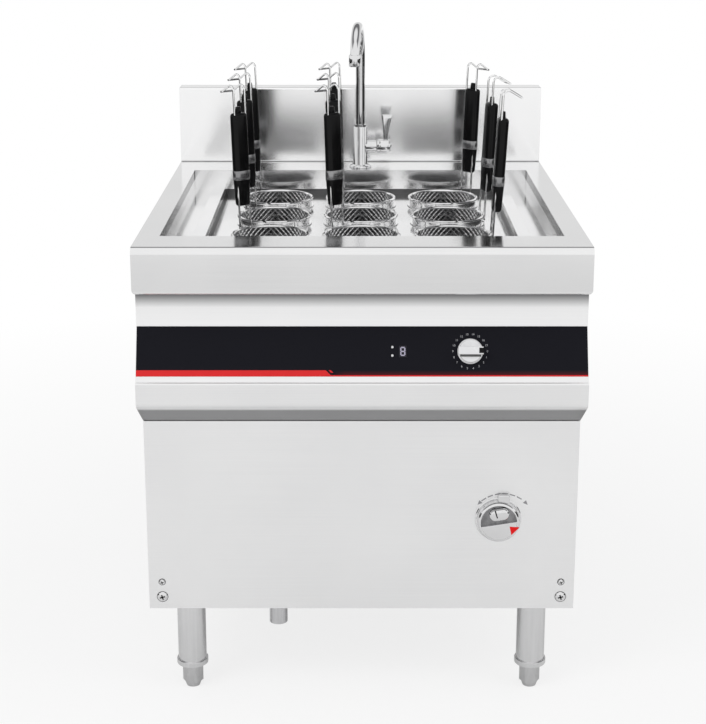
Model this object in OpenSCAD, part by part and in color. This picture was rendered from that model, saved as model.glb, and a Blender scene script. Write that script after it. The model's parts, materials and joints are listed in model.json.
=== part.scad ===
// Free-standing induction pasta cooker with nine lift-out baskets.
// Millimetres. X runs to the right, Y to the back and Z up.
// The origin is on the floor, under the middle of the cabinet.

/* [Overall] */
// Width over the worktop
unit_w = 800; // [720:5:1000]
// Depth from the front edge to the back of the splash
unit_d = 900; // [880:5:1000]
// Height of the worktop above the floor
top_h = 900; // [860:5:960]
// Thickness of the folded sheet
sheet = 1.5; // [1:0.1:2]
// Gap between parts that move past each other
running_gap = 0.3; // [0.2:0.05:0.5]
// Radial play of a shaft in its bearing
bearing_gap = 0.05; // [0.03:0.01:0.1]
// Play round a fixed piece in its opening
fit_gap = 0.1; // [0.05:0.05:0.3]

/* [Worktop] */
// Height of the front apron and the side skirts
apron_h = 84; // [70:1:90]
// Depth of the lip folded in under the apron
apron_lip = 20; // [12:1:30]
// Bend radius along the top front edge
apron_round = 12; // [4:1:16]
// Bend radius along the bottom front edge
lip_round = 6; // [3:1:10]
// Radius of the apron's bottom corners, seen from the front
corner_round = 9; // [4:1:14]
// Width of the flat bands left and right of the well
side_band = 40; // [36:1:60]
// Depth of the flat band in front of the well
front_band = 94; // [80:1:110]
// Depth of the deck between the well and the splash
deck_d = 107; // [90:1:120]

/* [Splash back] */
// Height of the splash above the worktop
splash_h = 165; // [80:1:300]
// Thickness of the splash from front to back
splash_t = 53; // [40:1:70]
// Bend radius of the splash's long edges
splash_round = 4; // [2:1:8]
// Depth of the foot folded in under the splash's front sheet
splash_foot = 18; // [12:1:30]

/* [Well and tank] */
// Depth of the gutter floor below the worktop
gutter_drop = 40; // [36:1:50]
// Width of the gutter floor
gutter_w = 45; // [40:1:50]
// Width of the raised ridge between the gutter and the tank
ridge_w = 25; // [18:1:30]
// Height of the ridge above the gutter floor
ridge_h = 12; // [6:1:20]
// How far the tank's flange reaches out under the gutter floor
flange_lap = 4; // [3:0.5:5]
// Depth of the basket plate below the worktop
plate_drop = 54; // [50:1:70]
// Play between the basket plate and the tank walls
plate_play = 0.5; // [0.3:0.1:1]
// Width of the ledges that carry the basket plate
ledge_w = 12; // [8:1:20]
// Depth of the tank floor below the worktop
tank_depth = 250; // [245:1:270]

/* [Baskets] */
// Distance between basket columns
basket_pitch_x = 173; // [168:1:178]
// Share of the tank's spare depth that lies between two rows of baskets
row_share = 0.215; // [0.1:0.005:0.3]
// Radius of the mouth ring, to the middle of its wire
mouth_r = 71; // [64:0.5:73]
// Diameter of the mouth ring's wire
mouth_wire = 6; // [4:0.5:7]
// Height of the mouth ring above the basket plate
basket_rise = 16; // [15:0.5:22]
// Depth of a basket below its mouth ring
basket_depth = 165; // [120:1:175]
// Height of the rounded bottom of a basket
basket_round = 60; // [40:1:68]
// Thickness of the mesh wall
mesh_t = 0.8; // [0.6:0.1:1.5]
// Radial play of a basket in its hole
hole_play = 2; // [1:0.25:3]
// Width of the seat ring beyond the edge of the hole
seat_w = 4; // [3:0.5:5]
// Thickness of the seat ring
seat_t = 1.5; // [1:0.1:2]

/* [Basket handles] */
// Diameter of the handle wires
handle_wire = 4; // [3:0.5:5]
// Distance between the two wires of a handle
handle_gap = 26; // [16:1:26]
// How much thicker the wire is round the hook's bend
bend_swell = 0.2; // [0.1:0.05:0.4]
// Lean of the handles away from the basket, in degrees
handle_lean = 3; // [0:0.5:5]
// Length of wire below the mouth ring
handle_drop = 11; // [8:0.5:12]
// Depth of the welds between the wires, the mouth ring and the hook's bend
weld_bite = 0.5; // [0.3:0.1:1]
// Start of the grip above the mouth ring
grip_start = 44; // [36:1:60]
// Length of the grip
grip_len = 178; // [150:1:190]
// Width of the grip
grip_w = 35; // [33:0.5:40]
// Thickness of the grip
grip_t = 20; // [14:0.5:24]
// How far the grip sits outward of the wires
grip_shift = 5; // [4:0.5:6]
// Length of the tongue on top of the grip
tongue_len = 12; // [6:1:16]
// Width of the tongue on top of the grip
tongue_w = 13; // [8:0.5:15]
// Thickness of the tongue on top of the grip
tongue_t = 9; // [6:0.5:12]
// Start of the steel band above the lower end of the grip
band_start = 48; // [30:1:80]
// Height of the steel band round the grip
band_h = 24; // [16:1:30]
// Thickness of the steel band
band_t = 0.8; // [0.5:0.1:1.5]
// Height of the hook's top above the mouth ring
hook_top = 276; // [270:1:290]
// Bend radius of the hook, to the middle of the wire
hook_bend = 10; // [7:0.5:14]
// Slope of the hook's arm below level, in degrees
hook_slope = 28; // [10:1:40]
// Length of the hook's straight arm
hook_arm = 24; // [16:1:34]

/* [Console] */
// Set-back of the upright strip under the apron
fascia_setback = 45; // [40:1:55]
// Depth of the slanted face's top edge below the worktop
face_drop = 152; // [140:1:160]
// Height of the slanted face
face_h = 84; // [70:1:90]
// How far the slanted face comes forward on its way down
face_lean = 35; // [20:1:38]
// Set-back of the bullnose below the slanted face
nose_setback = 3; // [1:0.5:4]
// Depth of the bullnose's top below the worktop
nose_drop = 245; // [243:1:255]
// Height of the bullnose
nose_h = 50; // [36:1:60]
// Radius of the bullnose's bottom edge
nose_round = 12; // [6:1:16]
// Radius of the bullnose's top edge
nose_top_round = 4; // [2:0.5:6]
// Depth of the console's lowest edge below the worktop
console_drop = 345; // [330:1:360]

/* [Controls] */
// Thickness of the black overlay
overlay_t = 1.2; // [0.8:0.1:2]
// Margin between the overlay and the edges of the slanted face
overlay_margin = 1; // [0.5:0.5:4]
// Height of the thick part of the stripe
stripe_h = 11; // [6:0.5:16]
// Height of the thin part of the stripe
stripe_line = 2.4; // [1:0.2:4]
// Thickness of the stripe
stripe_t = 0.3; // [0.2:0.1:0.5]
// Place of the stripe's step, from the middle
stripe_step_x = -64; // [-120:1:0]
// Distance from the middle to the level knob
knob_x = 191; // [170:1:260]
// Diameter of the level knob's skirt
knob_d = 45; // [34:1:48]
// Height of the level knob
knob_h = 19; // [14:1:22]
// Diameter of the encoder's shaft
encoder_shaft_d = 6; // [5:0.5:7]
// Diameter of the encoder's bush
encoder_bush_d = 9; // [8.5:0.5:11]
// Distance from the middle to the digit window
display_x = 72; // [40:1:120]
// Width of the digit window
display_w = 13; // [10:0.5:30]
// Height of the digit window
display_h = 20; // [14:0.5:30]
// Distance from the digit window to the two lamps
lamp_offset = 18.5; // [18:0.5:30]
// Diameter of a lamp
lamp_d = 4.5; // [3:0.5:6]
// Distance between the two lamps
lamp_pitch = 15; // [10:0.5:24]
// Thickness of the control board
board_t = 1.6; // [1:0.1:2.4]
// Length of the control board's standoffs
standoff_h = 8; // [6:0.5:10]

/* [Lower cabinet] */
// Set-back of the front panel behind the front edge
panel_setback = 90; // [80:1:100]
// Height of the front panel's lower edge above the floor
panel_low = 180; // [160:1:200]
// Gap between the front panel and the console
panel_reveal = 1; // [0.5:0.5:5]
// Depth of the folds along the front panel's edges
panel_fold = 8; // [6:1:9]
// Height of the base pan above the panels' lower edges
base_lift = 12; // [8:1:20]
// Height of the base pan's flanges
base_flange = 20; // [10:1:30]
// Width of a frame angle's legs
angle_w = 30; // [25:1:34]
// Thickness of a frame angle
angle_t = 2; // [1.5:0.1:3]
// Distance of the panel screws from the cabinet's sides
screw_inset = 25; // [18:1:30]
// Height of the large screws above the panel's lower edge
screw_rise = 24; // [22:1:30]
// Distance from the large screws up to the small ones
screw_pitch = 30; // [24:1:40]
// Head diameter of the large screws
screw_big_d = 20; // [14:0.5:22]
// Head diameter of the small screws
screw_small_d = 12; // [8:0.5:14]
// Height of a screw's domed head
screw_head_h = 4; // [3:0.5:6]
// Diameter of the screws' shanks
screw_shank_d = 6; // [4:0.5:6]
// Number of louvres in each column of the rear panel
louvre_count = 8; // [4:1:10]

/* [Legs] */
// Distance from a side of the cabinet to the leg's middle
leg_inset = 74; // [66:1:100]
// Distance from the front panel's face to the leg's middle
leg_setback = 42; // [38:1:80]
// Outer diameter of a leg
leg_d = 54; // [45:1:60]
// Wall of a leg
leg_wall = 2; // [1.5:0.1:3]
// Diameter of the flange at the top of a leg
leg_flange_d = 76; // [70:1:76]
// Thickness of the flange at the top of a leg
leg_flange_t = 4; // [3:0.5:6]
// Diameter of the collar at the bottom of a leg
collar_d = 60; // [60:1:66]
// Height of the collar
collar_h = 10; // [6:1:14]
// Height of the plug that holds the foot's screw
plug_h = 20; // [14:1:30]
// Height of a foot
foot_h = 48; // [40:1:60]
// Width of a foot across its flats
foot_flats = 34; // [28:1:38]
// Height of a foot's rounded tip
foot_tip_h = 10; // [6:1:14]
// Diameter of a foot where it meets the floor
foot_tip_d = 26; // [20:1:28]
// Diameter of a foot's screw
foot_screw_d = 16; // [12:1:18]
// How far a foot screws out
foot_travel = 25; // [10:1:25]

/* [Tap] */
// Distance from the back of the cabinet to the tap
tap_setback = 120; // [110:1:130]
// Diameter of the tap's base flange
tap_flange_d = 48; // [42:1:56]
// Height of the tap's base flange
tap_flange_h = 5; // [3:0.5:8]
// Diameter of the tap's body
tap_body_d = 32; // [28:0.5:36]
// Height of the tap's body above the worktop
tap_body_h = 90; // [80:1:110]
// Diameter of the threaded shank below the worktop
tap_shank_d = 21; // [18:0.5:24]
// Length of the shank below the worktop
tap_shank_len = 60; // [50:1:80]
// Width across the flats of the locknut
tap_nut_flats = 34; // [32:1:40]
// Height of the locknut
tap_nut_h = 9; // [6:0.5:12]
// Diameter of the spout's tube
spout_d = 20; // [16:0.5:22]
// Wall of the spout's tube
spout_wall = 2; // [1:0.1:3]
// Reach of the spout from the body to the nozzle
spout_reach = 140; // [136:1:150]
// Turn of the spout from straight ahead, in degrees
spout_turn = -5; // [-20:1:20]
// Height of the spout's top above the worktop
spout_top = 321; // [318:1:340]
// Depth of the spout's socket in the body
spout_socket = 22; // [14:1:30]
// Diameter of the nozzle
nozzle_d = 25; // [25:0.5:28]
// Length of the nozzle
nozzle_len = 24; // [16:1:24]
// How far the nozzle reaches below the end of the arch
nozzle_drop = 5; // [3:0.5:6]
// Height of the lever's barrel above the worktop
barrel_rise = 46; // [40:1:56]
// Diameter of the fixed barrel
barrel_d = 25; // [22:0.5:28]
// Distance from the body's middle to the end of the fixed barrel
barrel_end = 36; // [30:1:40]
// Diameter of the turning cap
cap_d = 31; // [27:0.5:34]
// Length of the turning cap
cap_len = 32; // [26:1:36]
// Diameter of the cap's spindle
spindle_d = 8; // [6:0.5:10]
// Length of the lever's paddle above the cap
paddle_len = 54; // [40:1:60]
// Width of the paddle at its tip
paddle_w = 25; // [18:1:30]
// Width of the paddle at its root
paddle_root_w = 10; // [8:1:14]
// Thickness of the paddle
paddle_t = 7; // [5:0.5:9]

/* [Drain] */
// Distance from the middle to the drain handle
drain_x = 254; // [230:1:255]
// Height of the drain handle above the floor
drain_h = 361; // [340:1:420]
// Distance from the front panel back to the drain valve
valve_setback = 160; // [140:1:180]
// Diameter of the bezel behind the drain handle
bezel_d = 86; // [80:1:94]
// Thickness of the bezel
bezel_t = 2.5; // [1.5:0.5:4]
// Diameter of the drain handle
drain_knob_d = 80; // [70:1:86]
// Height of the handle's skirt
drain_skirt_h = 6; // [4:0.5:10]
// Height of the handle's face above its skirt
drain_face_h = 9.5; // [8:0.5:12]
// Radius of the handle's outer edge
drain_edge_round = 4; // [2:0.5:5]
// Width of the rim round the finger pocket
drain_rim_w = 7; // [5:0.5:8]
// Thickness of the pocket's floor over the spindle
drain_floor_t = 2.5; // [2:0.5:3.5]
// Distance from the handle's axis down to the pocket's straight edge
drain_pocket_drop = 3.5; // [2:0.5:6]
// Tilt of the pocket's straight edge and of the boss, in degrees
drain_tilt = 9; // [0:1:15]
// Width of the boss in the pocket
drain_boss_w = 38; // [34:1:40]
// Thickness of the boss in the pocket
drain_boss_t = 23; // [20:0.5:23.5]
// Height of the boss above the panel
drain_boss_h = 27; // [24:1:34]
// Distance from the handle's axis up to the boss
drain_boss_up = 17.5; // [15:0.5:18]
// Diameter of the handle's neck through the panel
drain_neck_d = 17; // [15:0.5:20]
// Width of the lever tab on the handle
drain_tab_w = 22; // [16:1:28]
// How far the lever tab reaches past the handle's rim
drain_tab_len = 11; // [8:1:24]
// Thickness of the lever tab
drain_tab_t = 8; // [5:0.5:12]
// Distance of the lever tab to the right of the handle's axis
drain_tab_shift = 9; // [0:1:12]
// Diameter of the drain spindle
drain_rod_d = 10; // [8:0.5:12]
// Diameter of the valve's ball
ball_d = 40; // [36:1:42]
// Bore of the ball and of the drain pipe
drain_bore = 25; // [20:0.5:26]
// Diameter of the valve's body
valve_d = 58; // [54:1:64]
// Height of the valve's body
valve_h = 84; // [76:1:96]
// Outer diameter of the drain and overflow pipes
pipe_d = 34; // [32:0.5:38]
// Wall of the drain and overflow pipes
pipe_wall = 2; // [1.5:0.1:3]
// Diameter of the drain pipe's flange under the tank
pipe_flange_d = 60; // [52:1:64]
// Thickness of the drain pipe's flange
pipe_flange_t = 4; // [3:0.5:6]
// How far the pipes reach below the base pan
pipe_stub = 50; // [40:1:60]
// Distance from the middle to the overflow pipe, on the left
overflow_x = 158; // [120:1:200]
// Width across the flats of a pipe's locknut
pipe_nut_flats = 42; // [40:1:46]
// Height of a pipe's locknut
pipe_nut_h = 8; // [6:0.5:12]

/* [Water supply] */
// Distance from the middle to the water inlet
inlet_x = 173; // [150:1:200]
// Thread diameter of the water inlet
inlet_d = 21; // [18:0.5:24]
// Length of the inlet's thread below its nut
inlet_len = 32; // [20:1:40]
// Diameter of the supply pipe
supply_d = 16; // [12:0.5:18]
// Wall of the supply pipe
supply_wall = 1.5; // [1:0.1:2]
// Bend radius of the supply pipe, to its middle
supply_bend = 28; // [20:1:36]
// Depth of the supply pipe's crossing below the worktop
supply_drop = 150; // [140:1:200]

/* [Heating] */
// Outer diameter of the induction coil
coil_d = 370; // [300:5:380]
// Inner diameter of the induction coil
coil_hole = 110; // [80:5:140]
// Thickness of the coil
coil_t = 6; // [4:0.5:8]
// Thickness of the insulating board between the coil and the tank
coil_board_t = 4; // [3:0.5:6]
// Height of the coil's carrier bars
carrier_h = 16; // [12:1:24]
// Width of the coil's carrier bars
carrier_w = 40; // [30:1:60]
// Distance between the two carrier bars
carrier_pitch = 200; // [160:5:240]
// Width of the power module
module_w = 260; // [220:5:300]
// Depth of the power module
module_d = 180; // [150:5:200]
// Height of the power module
module_h = 120; // [100:5:150]
// Wall of the power module's cover
module_wall = 2; // [1.5:0.1:3]
// Number of fins on the heat sink
fin_count = 12; // [8:1:16]
// Width of the fan's frame
fan_w = 120; // [100:1:140]
// Height of the fan's frame
fan_h = 38; // [32:1:44]
// Wall left between the fan's bore and the frame's sides
fan_rim = 4; // [3:0.5:6]
// Gap between the blades and the fan's bore
blade_gap = 2; // [1.5:0.25:3]
// Number of fan blades
blade_count = 7; // [5:1:9]
// Diameter of the fan's hub
hub_d = 44; // [36:1:50]
// Diameter of the fan's shaft
fan_shaft_d = 6; // [5:0.5:8]
// Bore of the cable gland
gland_bore = 20; // [14:0.5:24]
// Outer diameter of the cable gland's thread
gland_d = 32; // [30:0.5:36]
// Width across the flats of the cable gland
gland_flats = 40; // [38:1:46]

/* [Hidden] */
$fn = 48;

// Planes of the cabinet
side = unit_w / 2;
front = -unit_d / 2;
back = unit_d / 2;
under_top = top_h - sheet;
apron_z = top_h - apron_h;
splash_front = back - splash_t;
splash_z = top_h + splash_h;
panel_y = front + panel_setback;
panel_back = panel_y + sheet;
base_z = panel_low + base_lift;
base_top = base_z + sheet;
// Grip of a panel screw: the panel, the base pan's flange and a frame angle
screw_grip = 2 * sheet + angle_t;

// Well, gutter and tank
well_w = unit_w - 2 * side_band;
well_front = front + front_band;
well_back = splash_front - deck_d;
well_d = well_back - well_front;
gutter_z = top_h - gutter_drop;
gutter_under = gutter_z - sheet;
tank_w = well_w - 2 * (gutter_w + ridge_w);
tank_front = well_front + gutter_w + ridge_w;
tank_d = well_back - tank_front;
tank_mid = (tank_front + well_back) / 2;
tank_z = top_h - tank_depth;
tank_under = tank_z - sheet;
plate_z = top_h - plate_drop;

// Baskets
rows = ["front", "middle", "back"];
columns = ["left", "centre", "right"];
basket_z = plate_z + basket_rise;
cup_r = mouth_r - mouth_wire / 2 + mesh_t;
basket_hole_r = cup_r + hole_play;
seat_r = basket_hole_r + seat_w;
spare_d = tank_d - len(rows) * 2 * seat_r;
basket_pitch_y = 2 * seat_r + row_share * spare_d;
weld_r = mouth_r + (mouth_wire + handle_wire) / 2 - weld_bite;
handle_r = sqrt(weld_r * weld_r - handle_gap * handle_gap / 4);
hook_z = hook_top - handle_wire / 2 - hook_bend;
// Compass turn of each handle, by row and column, in degrees from the right
handle_turn = [[132, 128, 4], [132, 128, 18], [132, 128, 45]];

// Console
fascia_y = front + fascia_setback;
face_top = [fascia_y, top_h - face_drop];
face_low = [fascia_y - face_lean, top_h - face_drop - face_h];
face_len = norm(face_top - face_low);
face_tilt = atan2(face_h, face_lean);
face_mid = (face_top + face_low) / 2;
nose_y = front + nose_setback;
nose_top_z = top_h - nose_drop;
nose_low_z = nose_top_z - nose_h;
console_low = top_h - console_drop;
nose_turn = 180 + atan2(panel_y - nose_y, nose_low_z - console_low);
overlay_w = unit_w - 2 * overlay_margin;
overlay_len = face_len - 2 * overlay_margin;
board_z = -sheet - standoff_h;
// Floor left below the encoder's shaft
encoder_floor = 1;

// Legs and feet
leg_x = side - leg_inset;
leg_front_y = panel_y + leg_setback;
leg_back_y = back - leg_setback;
collar_z = foot_h + running_gap;

// Tap
tap_y = back - tap_setback;
tap_top = top_h + tap_body_h;
lever_z = top_h + barrel_rise;
arch_r = spout_reach / 2;
arch_z = top_h + spout_top - spout_d / 2 - arch_r;

// Drain
valve_y = panel_y + valve_setback;
ball_r = ball_d / 2;
handle_seat = bezel_t + running_gap;
overflow_y = well_front + gutter_w / 2;
pipe_end = base_z - pipe_stub;

// Supply
supply_z = top_h - supply_drop;
inlet_nut_h = pipe_nut_h;

// Heating
coil_top = tank_under - coil_board_t;
carrier_top = coil_top - coil_t;
rail_top = carrier_top - carrier_h;
frame_x = side - 2 * sheet;
frame_front = panel_back + sheet;
frame_back = back - 2 * sheet;
// Half width left between the front uprights
frame_clear = frame_x - angle_w - fit_gap;
module_setback = 140;
module_y = tank_mid + module_setback;
fan_y = tank_mid - carrier_pitch / 2;
fan_bore_r = fan_w / 2 - fan_rim;
fan_strut_t = 4;
gland_inset = 150;
gland_setback = 70;
gland_x = -side + gland_inset;
gland_y = back - gland_setback;

fixed_nodes = [
    "worktop", "splash_back", "gutter_tray", "tank", "basket_plate", "console_shell", "control_overlay",
    "overlay_stripe", "display_lenses", "front_panel", "side_panel_left", "side_panel_right", "rear_panel",
    "base_pan", "chassis_frame", "leg_tubes", "panel_screws", "tap_body", "supply_pipe", "water_inlet",
    "control_board", "induction_coil", "coil_carrier", "power_module", "fan_housing", "terminal_block",
    "cable_gland", "drain_valve", "drain_pipe", "drain_bezel", "overflow_pipe"];
moving_nodes = [
    "tap_spout", "tap_lever", "level_knob", "encoder_shaft", "drain_handle", "drain_spindle", "fan_rotor",
    "foot_front_left", "foot_front_right", "foot_rear_left", "foot_rear_right"];
basket_nodes = [for (row = rows) for (column = columns) str("basket_", row, "_", column)];
grip_nodes = [for (row = rows) for (column = columns) str("grip_", row, "_", column)];

// Points along a circular arc
function arc(centre, r, from, to, steps = 8) =
    [for (i = [0 : steps]) let (a = from + (to - from) * i / steps) centre + r * [cos(a), sin(a)]];

// Unit normal to the right of one leg of an outline
function right_normal(path, i) =
    let (leg = path[i + 1] - path[i]) [leg[1], -leg[0]] / norm(leg);

// An open outline moved to its right by a sheet's thickness, mitred at the corners
function inner_path(path) =
    let (last = len(path) - 1)
    [for (i = [0 : last])
        let (before = right_normal(path, max(i - 1, 0)), after = right_normal(path, min(i, last - 1)))
        path[i] + sheet * (before + after) / (1 + before * after)];

// Cross-section of a sheet folded along an outline
module folded(path) {
    inner = inner_path(path);
    polygon(concat(path, [for (i = [len(path) - 1 : -1 : 0]) inner[i]]));
}

// A cross-section drawn in Y and Z, drawn out along X about the middle
module along_x(length) {
    rotate([90, 0, 90]) translate([0, 0, -length / 2]) linear_extrude(length) children();
}

// A block given by its two opposite corners
module block(low, high) {
    translate(low) cube(high - low);
}

// A tube standing on its lower end
module tube(d, wall, length) {
    difference() {
        cylinder(d = d, h = length);
        translate([0, 0, -1]) cylinder(d = d - 2 * wall, h = length + 2);
    }
}

// A quarter bend of tube in X and Z, from level at its start to upright
module tube_bend(d, wall, bend) {
    rotate([90, 0, 0]) rotate_extrude(angle = 90) translate([bend, 0]) difference() {
        circle(d = d);
        circle(d = d - 2 * wall);
    }
}

// A hexagonal nut or foot, given its width across the flats
module hexagon(flats, h) {
    cylinder(d = flats / cos(30), h = h, $fn = 6);
}

// An oval with straight sides, long in Y
module oval(w, t) {
    square([t, w - t], center = true);
    for (end = [-1, 1]) translate([0, end * (w - t) / 2]) circle(d = t);
}

// What lies inside is drawn on the slanted face: X right, Y up the face, Z out of it
module on_face() {
    translate([0, face_mid[0], face_mid[1]]) rotate([face_tilt, 0, 0]) children();
}

// What lies inside is drawn on the front panel at the drain handle: X right, Y up, Z out of it
module on_drain() {
    translate([drain_x, panel_y, drain_h]) rotate([90, 0, 0]) children();
}

// Places of the four legs
module at_legs() {
    for (x = [-leg_x, leg_x]) for (y = [leg_front_y, leg_back_y]) translate([x, y, 0]) children();
}

// Worktop and splash

worktop_path = concat(
    [[front + apron_lip, apron_z]],
    arc([front + lip_round, apron_z + lip_round], lip_round, 270, 180),
    arc([front + apron_round, top_h - apron_round], apron_round, 180, 90),
    [[back, top_h], [back, apron_z]]);

module worktop() {
    color("silver") difference() {
        union() {
            along_x(unit_w) folded(worktop_path);
            for (end = [-1, 1]) translate([end * (side - sheet / 2), 0, 0])
                along_x(sheet) polygon(worktop_path);
        }
        block([-well_w / 2, well_front, apron_z], [well_w / 2, well_back, top_h + 1]);
        translate([0, tap_y, apron_z]) cylinder(d = tap_shank_d + 2 * fit_gap, h = apron_h + 1);
        // Rounded bottom corners of the apron
        for (end = [-1, 1]) mirror([end < 0 ? 1 : 0, 0, 0]) translate([side, front - 1, apron_z])
            rotate([-90, 0, 0]) mirror([1, 1, 0]) linear_extrude(apron_lip + 2) difference() {
                translate([-1, -1]) square(corner_round + 1);
                translate([corner_round, corner_round]) circle(corner_round);
            }
    }
}

splash_path = concat(
    [[splash_front + splash_foot, top_h]],
    arc([splash_front + splash_round, top_h + splash_round], splash_round, 270, 180),
    arc([splash_front + splash_round, splash_z - splash_round], splash_round, 180, 90),
    arc([back - splash_round, splash_z - splash_round], splash_round, 90, 0),
    [[back, top_h]]);

module splash_back() {
    color("gainsboro") {
        along_x(unit_w) folded(splash_path);
        for (end = [-1, 1]) translate([end * (side - sheet / 2), 0, 0]) along_x(sheet) polygon(splash_path);
    }
}

// Well

module gutter_tray() {
    color("lightgray") difference() {
        union() {
            difference() {
                block([-well_w / 2 - sheet, well_front - sheet, gutter_under],
                      [well_w / 2 + sheet, well_back + sheet, under_top]);
                block([-well_w / 2, well_front, gutter_z], [well_w / 2, well_back, top_h]);
            }
            block([-tank_w / 2 - ridge_w, tank_front - ridge_w, gutter_under],
                  [tank_w / 2 + ridge_w, well_back, gutter_z + ridge_h]);
        }
        // The ridge is a folded channel, open below
        difference() {
            block([-tank_w / 2 - ridge_w + sheet, tank_front - ridge_w + sheet, gutter_under - 1],
                  [tank_w / 2 + ridge_w - sheet, well_back, gutter_z + ridge_h - sheet]);
            block([-tank_w / 2 - sheet, tank_front - sheet, 0], [tank_w / 2 + sheet, back, top_h]);
        }
        block([-tank_w / 2, tank_front, gutter_under - 1], [tank_w / 2, well_back, top_h]);
        translate([-overflow_x, overflow_y, gutter_under - 1])
            cylinder(d = pipe_d - 2 * pipe_wall, h = sheet + 2);
    }
}

module tank() {
    color("lightsteelblue") {
        difference() {
            union() {
                block([-tank_w / 2 - sheet, tank_front - sheet, tank_under],
                      [tank_w / 2 + sheet, well_back + sheet, gutter_under]);
                block([-tank_w / 2 - ridge_w - flange_lap, tank_front - ridge_w - flange_lap,
                       gutter_under - sheet],
                      [tank_w / 2 + ridge_w + flange_lap, well_back + sheet, gutter_under]);
            }
            block([-tank_w / 2, tank_front, tank_z], [tank_w / 2, well_back, top_h]);
            translate([drain_x, valve_y, tank_under - 1]) cylinder(d = drain_bore, h = sheet + 2);
        }
        for (end = [-1, 1]) mirror([end < 0 ? 1 : 0, 0, 0])
            block([tank_w / 2 - ledge_w, tank_front, plate_z - 2 * sheet],
                  [tank_w / 2, well_back, plate_z - sheet]);
    }
}

module basket_plate() {
    color("whitesmoke") difference() {
        block([-tank_w / 2 + plate_play, tank_front + plate_play, plate_z - sheet],
              [tank_w / 2 - plate_play, well_back - plate_play, plate_z]);
        for (row = [0 : 2]) for (column = [0 : 2]) at_basket(row, column)
            translate([0, 0, -1.5 * sheet - basket_rise]) cylinder(r = basket_hole_r, h = 2 * sheet);
    }
}

// Baskets, each drawn about its own axis at the height of its mouth ring

module at_basket(row, column) {
    translate([(column - 1) * basket_pitch_x, tank_mid + (row - 1) * basket_pitch_y, basket_z]) children();
}

// What lies inside is drawn on the handle: X away from the basket, Y across, Z along the wires
module on_handle(row, column) {
    at_basket(row, column) rotate(handle_turn[row][column]) translate([handle_r, 0, 0])
        rotate([0, handle_lean, 0]) children();
}

module mesh_cup() {
    straight = basket_depth - basket_round;
    outer = [for (a = [0 : 10 : 90]) [cup_r * cos(a), -straight - basket_round * sin(a)]];
    inner = [for (a = [90 : -10 : 0])
        [(cup_r - mesh_t) * cos(a), -straight - (basket_round - mesh_t) * sin(a)]];
    rotate_extrude() polygon(concat([[cup_r - mesh_t, 0], [cup_r, 0]], outer, inner));
    rotate_extrude() translate([mouth_r, 0]) circle(d = mouth_wire);
    // Seat ring that rests on the plate
    translate([0, 0, running_gap - basket_rise]) difference() {
        cylinder(r = seat_r, h = seat_t);
        translate([0, 0, -1]) cylinder(r = cup_r - mesh_t / 2, h = seat_t + 2);
    }
}

module cross_wire() {
    rotate([90, 0, 0]) cylinder(d = handle_wire, h = handle_gap + handle_wire, center = true);
}

module handle_wires() {
    arm_turn = 90 - hook_slope;
    arm_start = [hook_bend * (1 + cos(arm_turn)), 0, hook_z + hook_bend * sin(arm_turn)];
    for (end = [-1, 1]) translate([0, end * handle_gap / 2, 0]) {
        translate([0, 0, -handle_drop]) cylinder(d = handle_wire, h = handle_drop + hook_z + weld_bite);
        translate([hook_bend, 0, hook_z]) rotate([90, 0, 0]) rotate([0, 0, arm_turn])
            rotate_extrude(angle = 90 + hook_slope) translate([hook_bend, 0])
                circle(d = handle_wire + bend_swell);
        translate(arm_start) rotate([0, 90 + hook_slope, 0]) translate([0, 0, -weld_bite])
            cylinder(d = handle_wire, h = hook_arm + weld_bite);
    }
    translate([0, 0, -handle_drop]) cross_wire();
    translate(arm_start + hook_arm * [cos(hook_slope), 0, -sin(hook_slope)]) cross_wire();
}

module basket(row, column) {
    color("lightgray") {
        at_basket(row, column) mesh_cup();
        on_handle(row, column) handle_wires();
        on_handle(row, column) translate([grip_shift, 0, grip_start + band_start])
            linear_extrude(band_h) difference() {
                oval(grip_w + 2 * band_t, grip_t + 2 * band_t);
                oval(grip_w + 2 * fit_gap, grip_t + 2 * fit_gap);
            }
    }
}

// The wires lie in channels that are open on the grip's inner face
module grip(row, column) {
    channel_w = handle_wire + 2 * fit_gap;
    color([0.08, 0.08, 0.09]) on_handle(row, column) translate([0, 0, grip_start]) {
        difference() {
            linear_extrude(grip_len) translate([grip_shift, 0]) oval(grip_w, grip_t);
            for (end = [-1, 1]) translate([0, end * handle_gap / 2, -1]) {
                cylinder(d = channel_w, h = grip_len + 2);
                translate([-grip_t, -channel_w / 2, 0]) cube([grip_t, channel_w, grip_len + 2]);
            }
        }
        translate([grip_shift, 0, grip_len]) linear_extrude(tongue_len) oval(tongue_w, tongue_t);
    }
}

// Console

console_front = concat(
    arc([nose_y + nose_round, nose_low_z + nose_round], nose_round, nose_turn, 180),
    arc([nose_y + nose_top_round, nose_top_z - nose_top_round], nose_top_round, 180, 100),
    [face_low, face_top, [fascia_y, apron_z]]);
console_path = concat([[panel_y + panel_fold, console_low], [panel_y, console_low]], console_front);

// Openings through the console for the knob's bush, the digit window and the lamps
module face_openings(play) {
    translate([knob_x, 0, -sheet - 1]) cylinder(d = encoder_bush_d + 2 * play, h = 3 * sheet + overlay_t);
    translate([display_x, 0, 0])
        cube([display_w + 2 * play, display_h + 2 * play, 4 * standoff_h], center = true);
    lamp_places() translate([0, 0, -sheet - 1]) cylinder(d = lamp_d + 2 * play, h = 3 * sheet + overlay_t);
}

module lamp_places() {
    for (end = [-1, 1]) translate([display_x - lamp_offset, end * lamp_pitch / 2, 0]) children();
}

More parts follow.
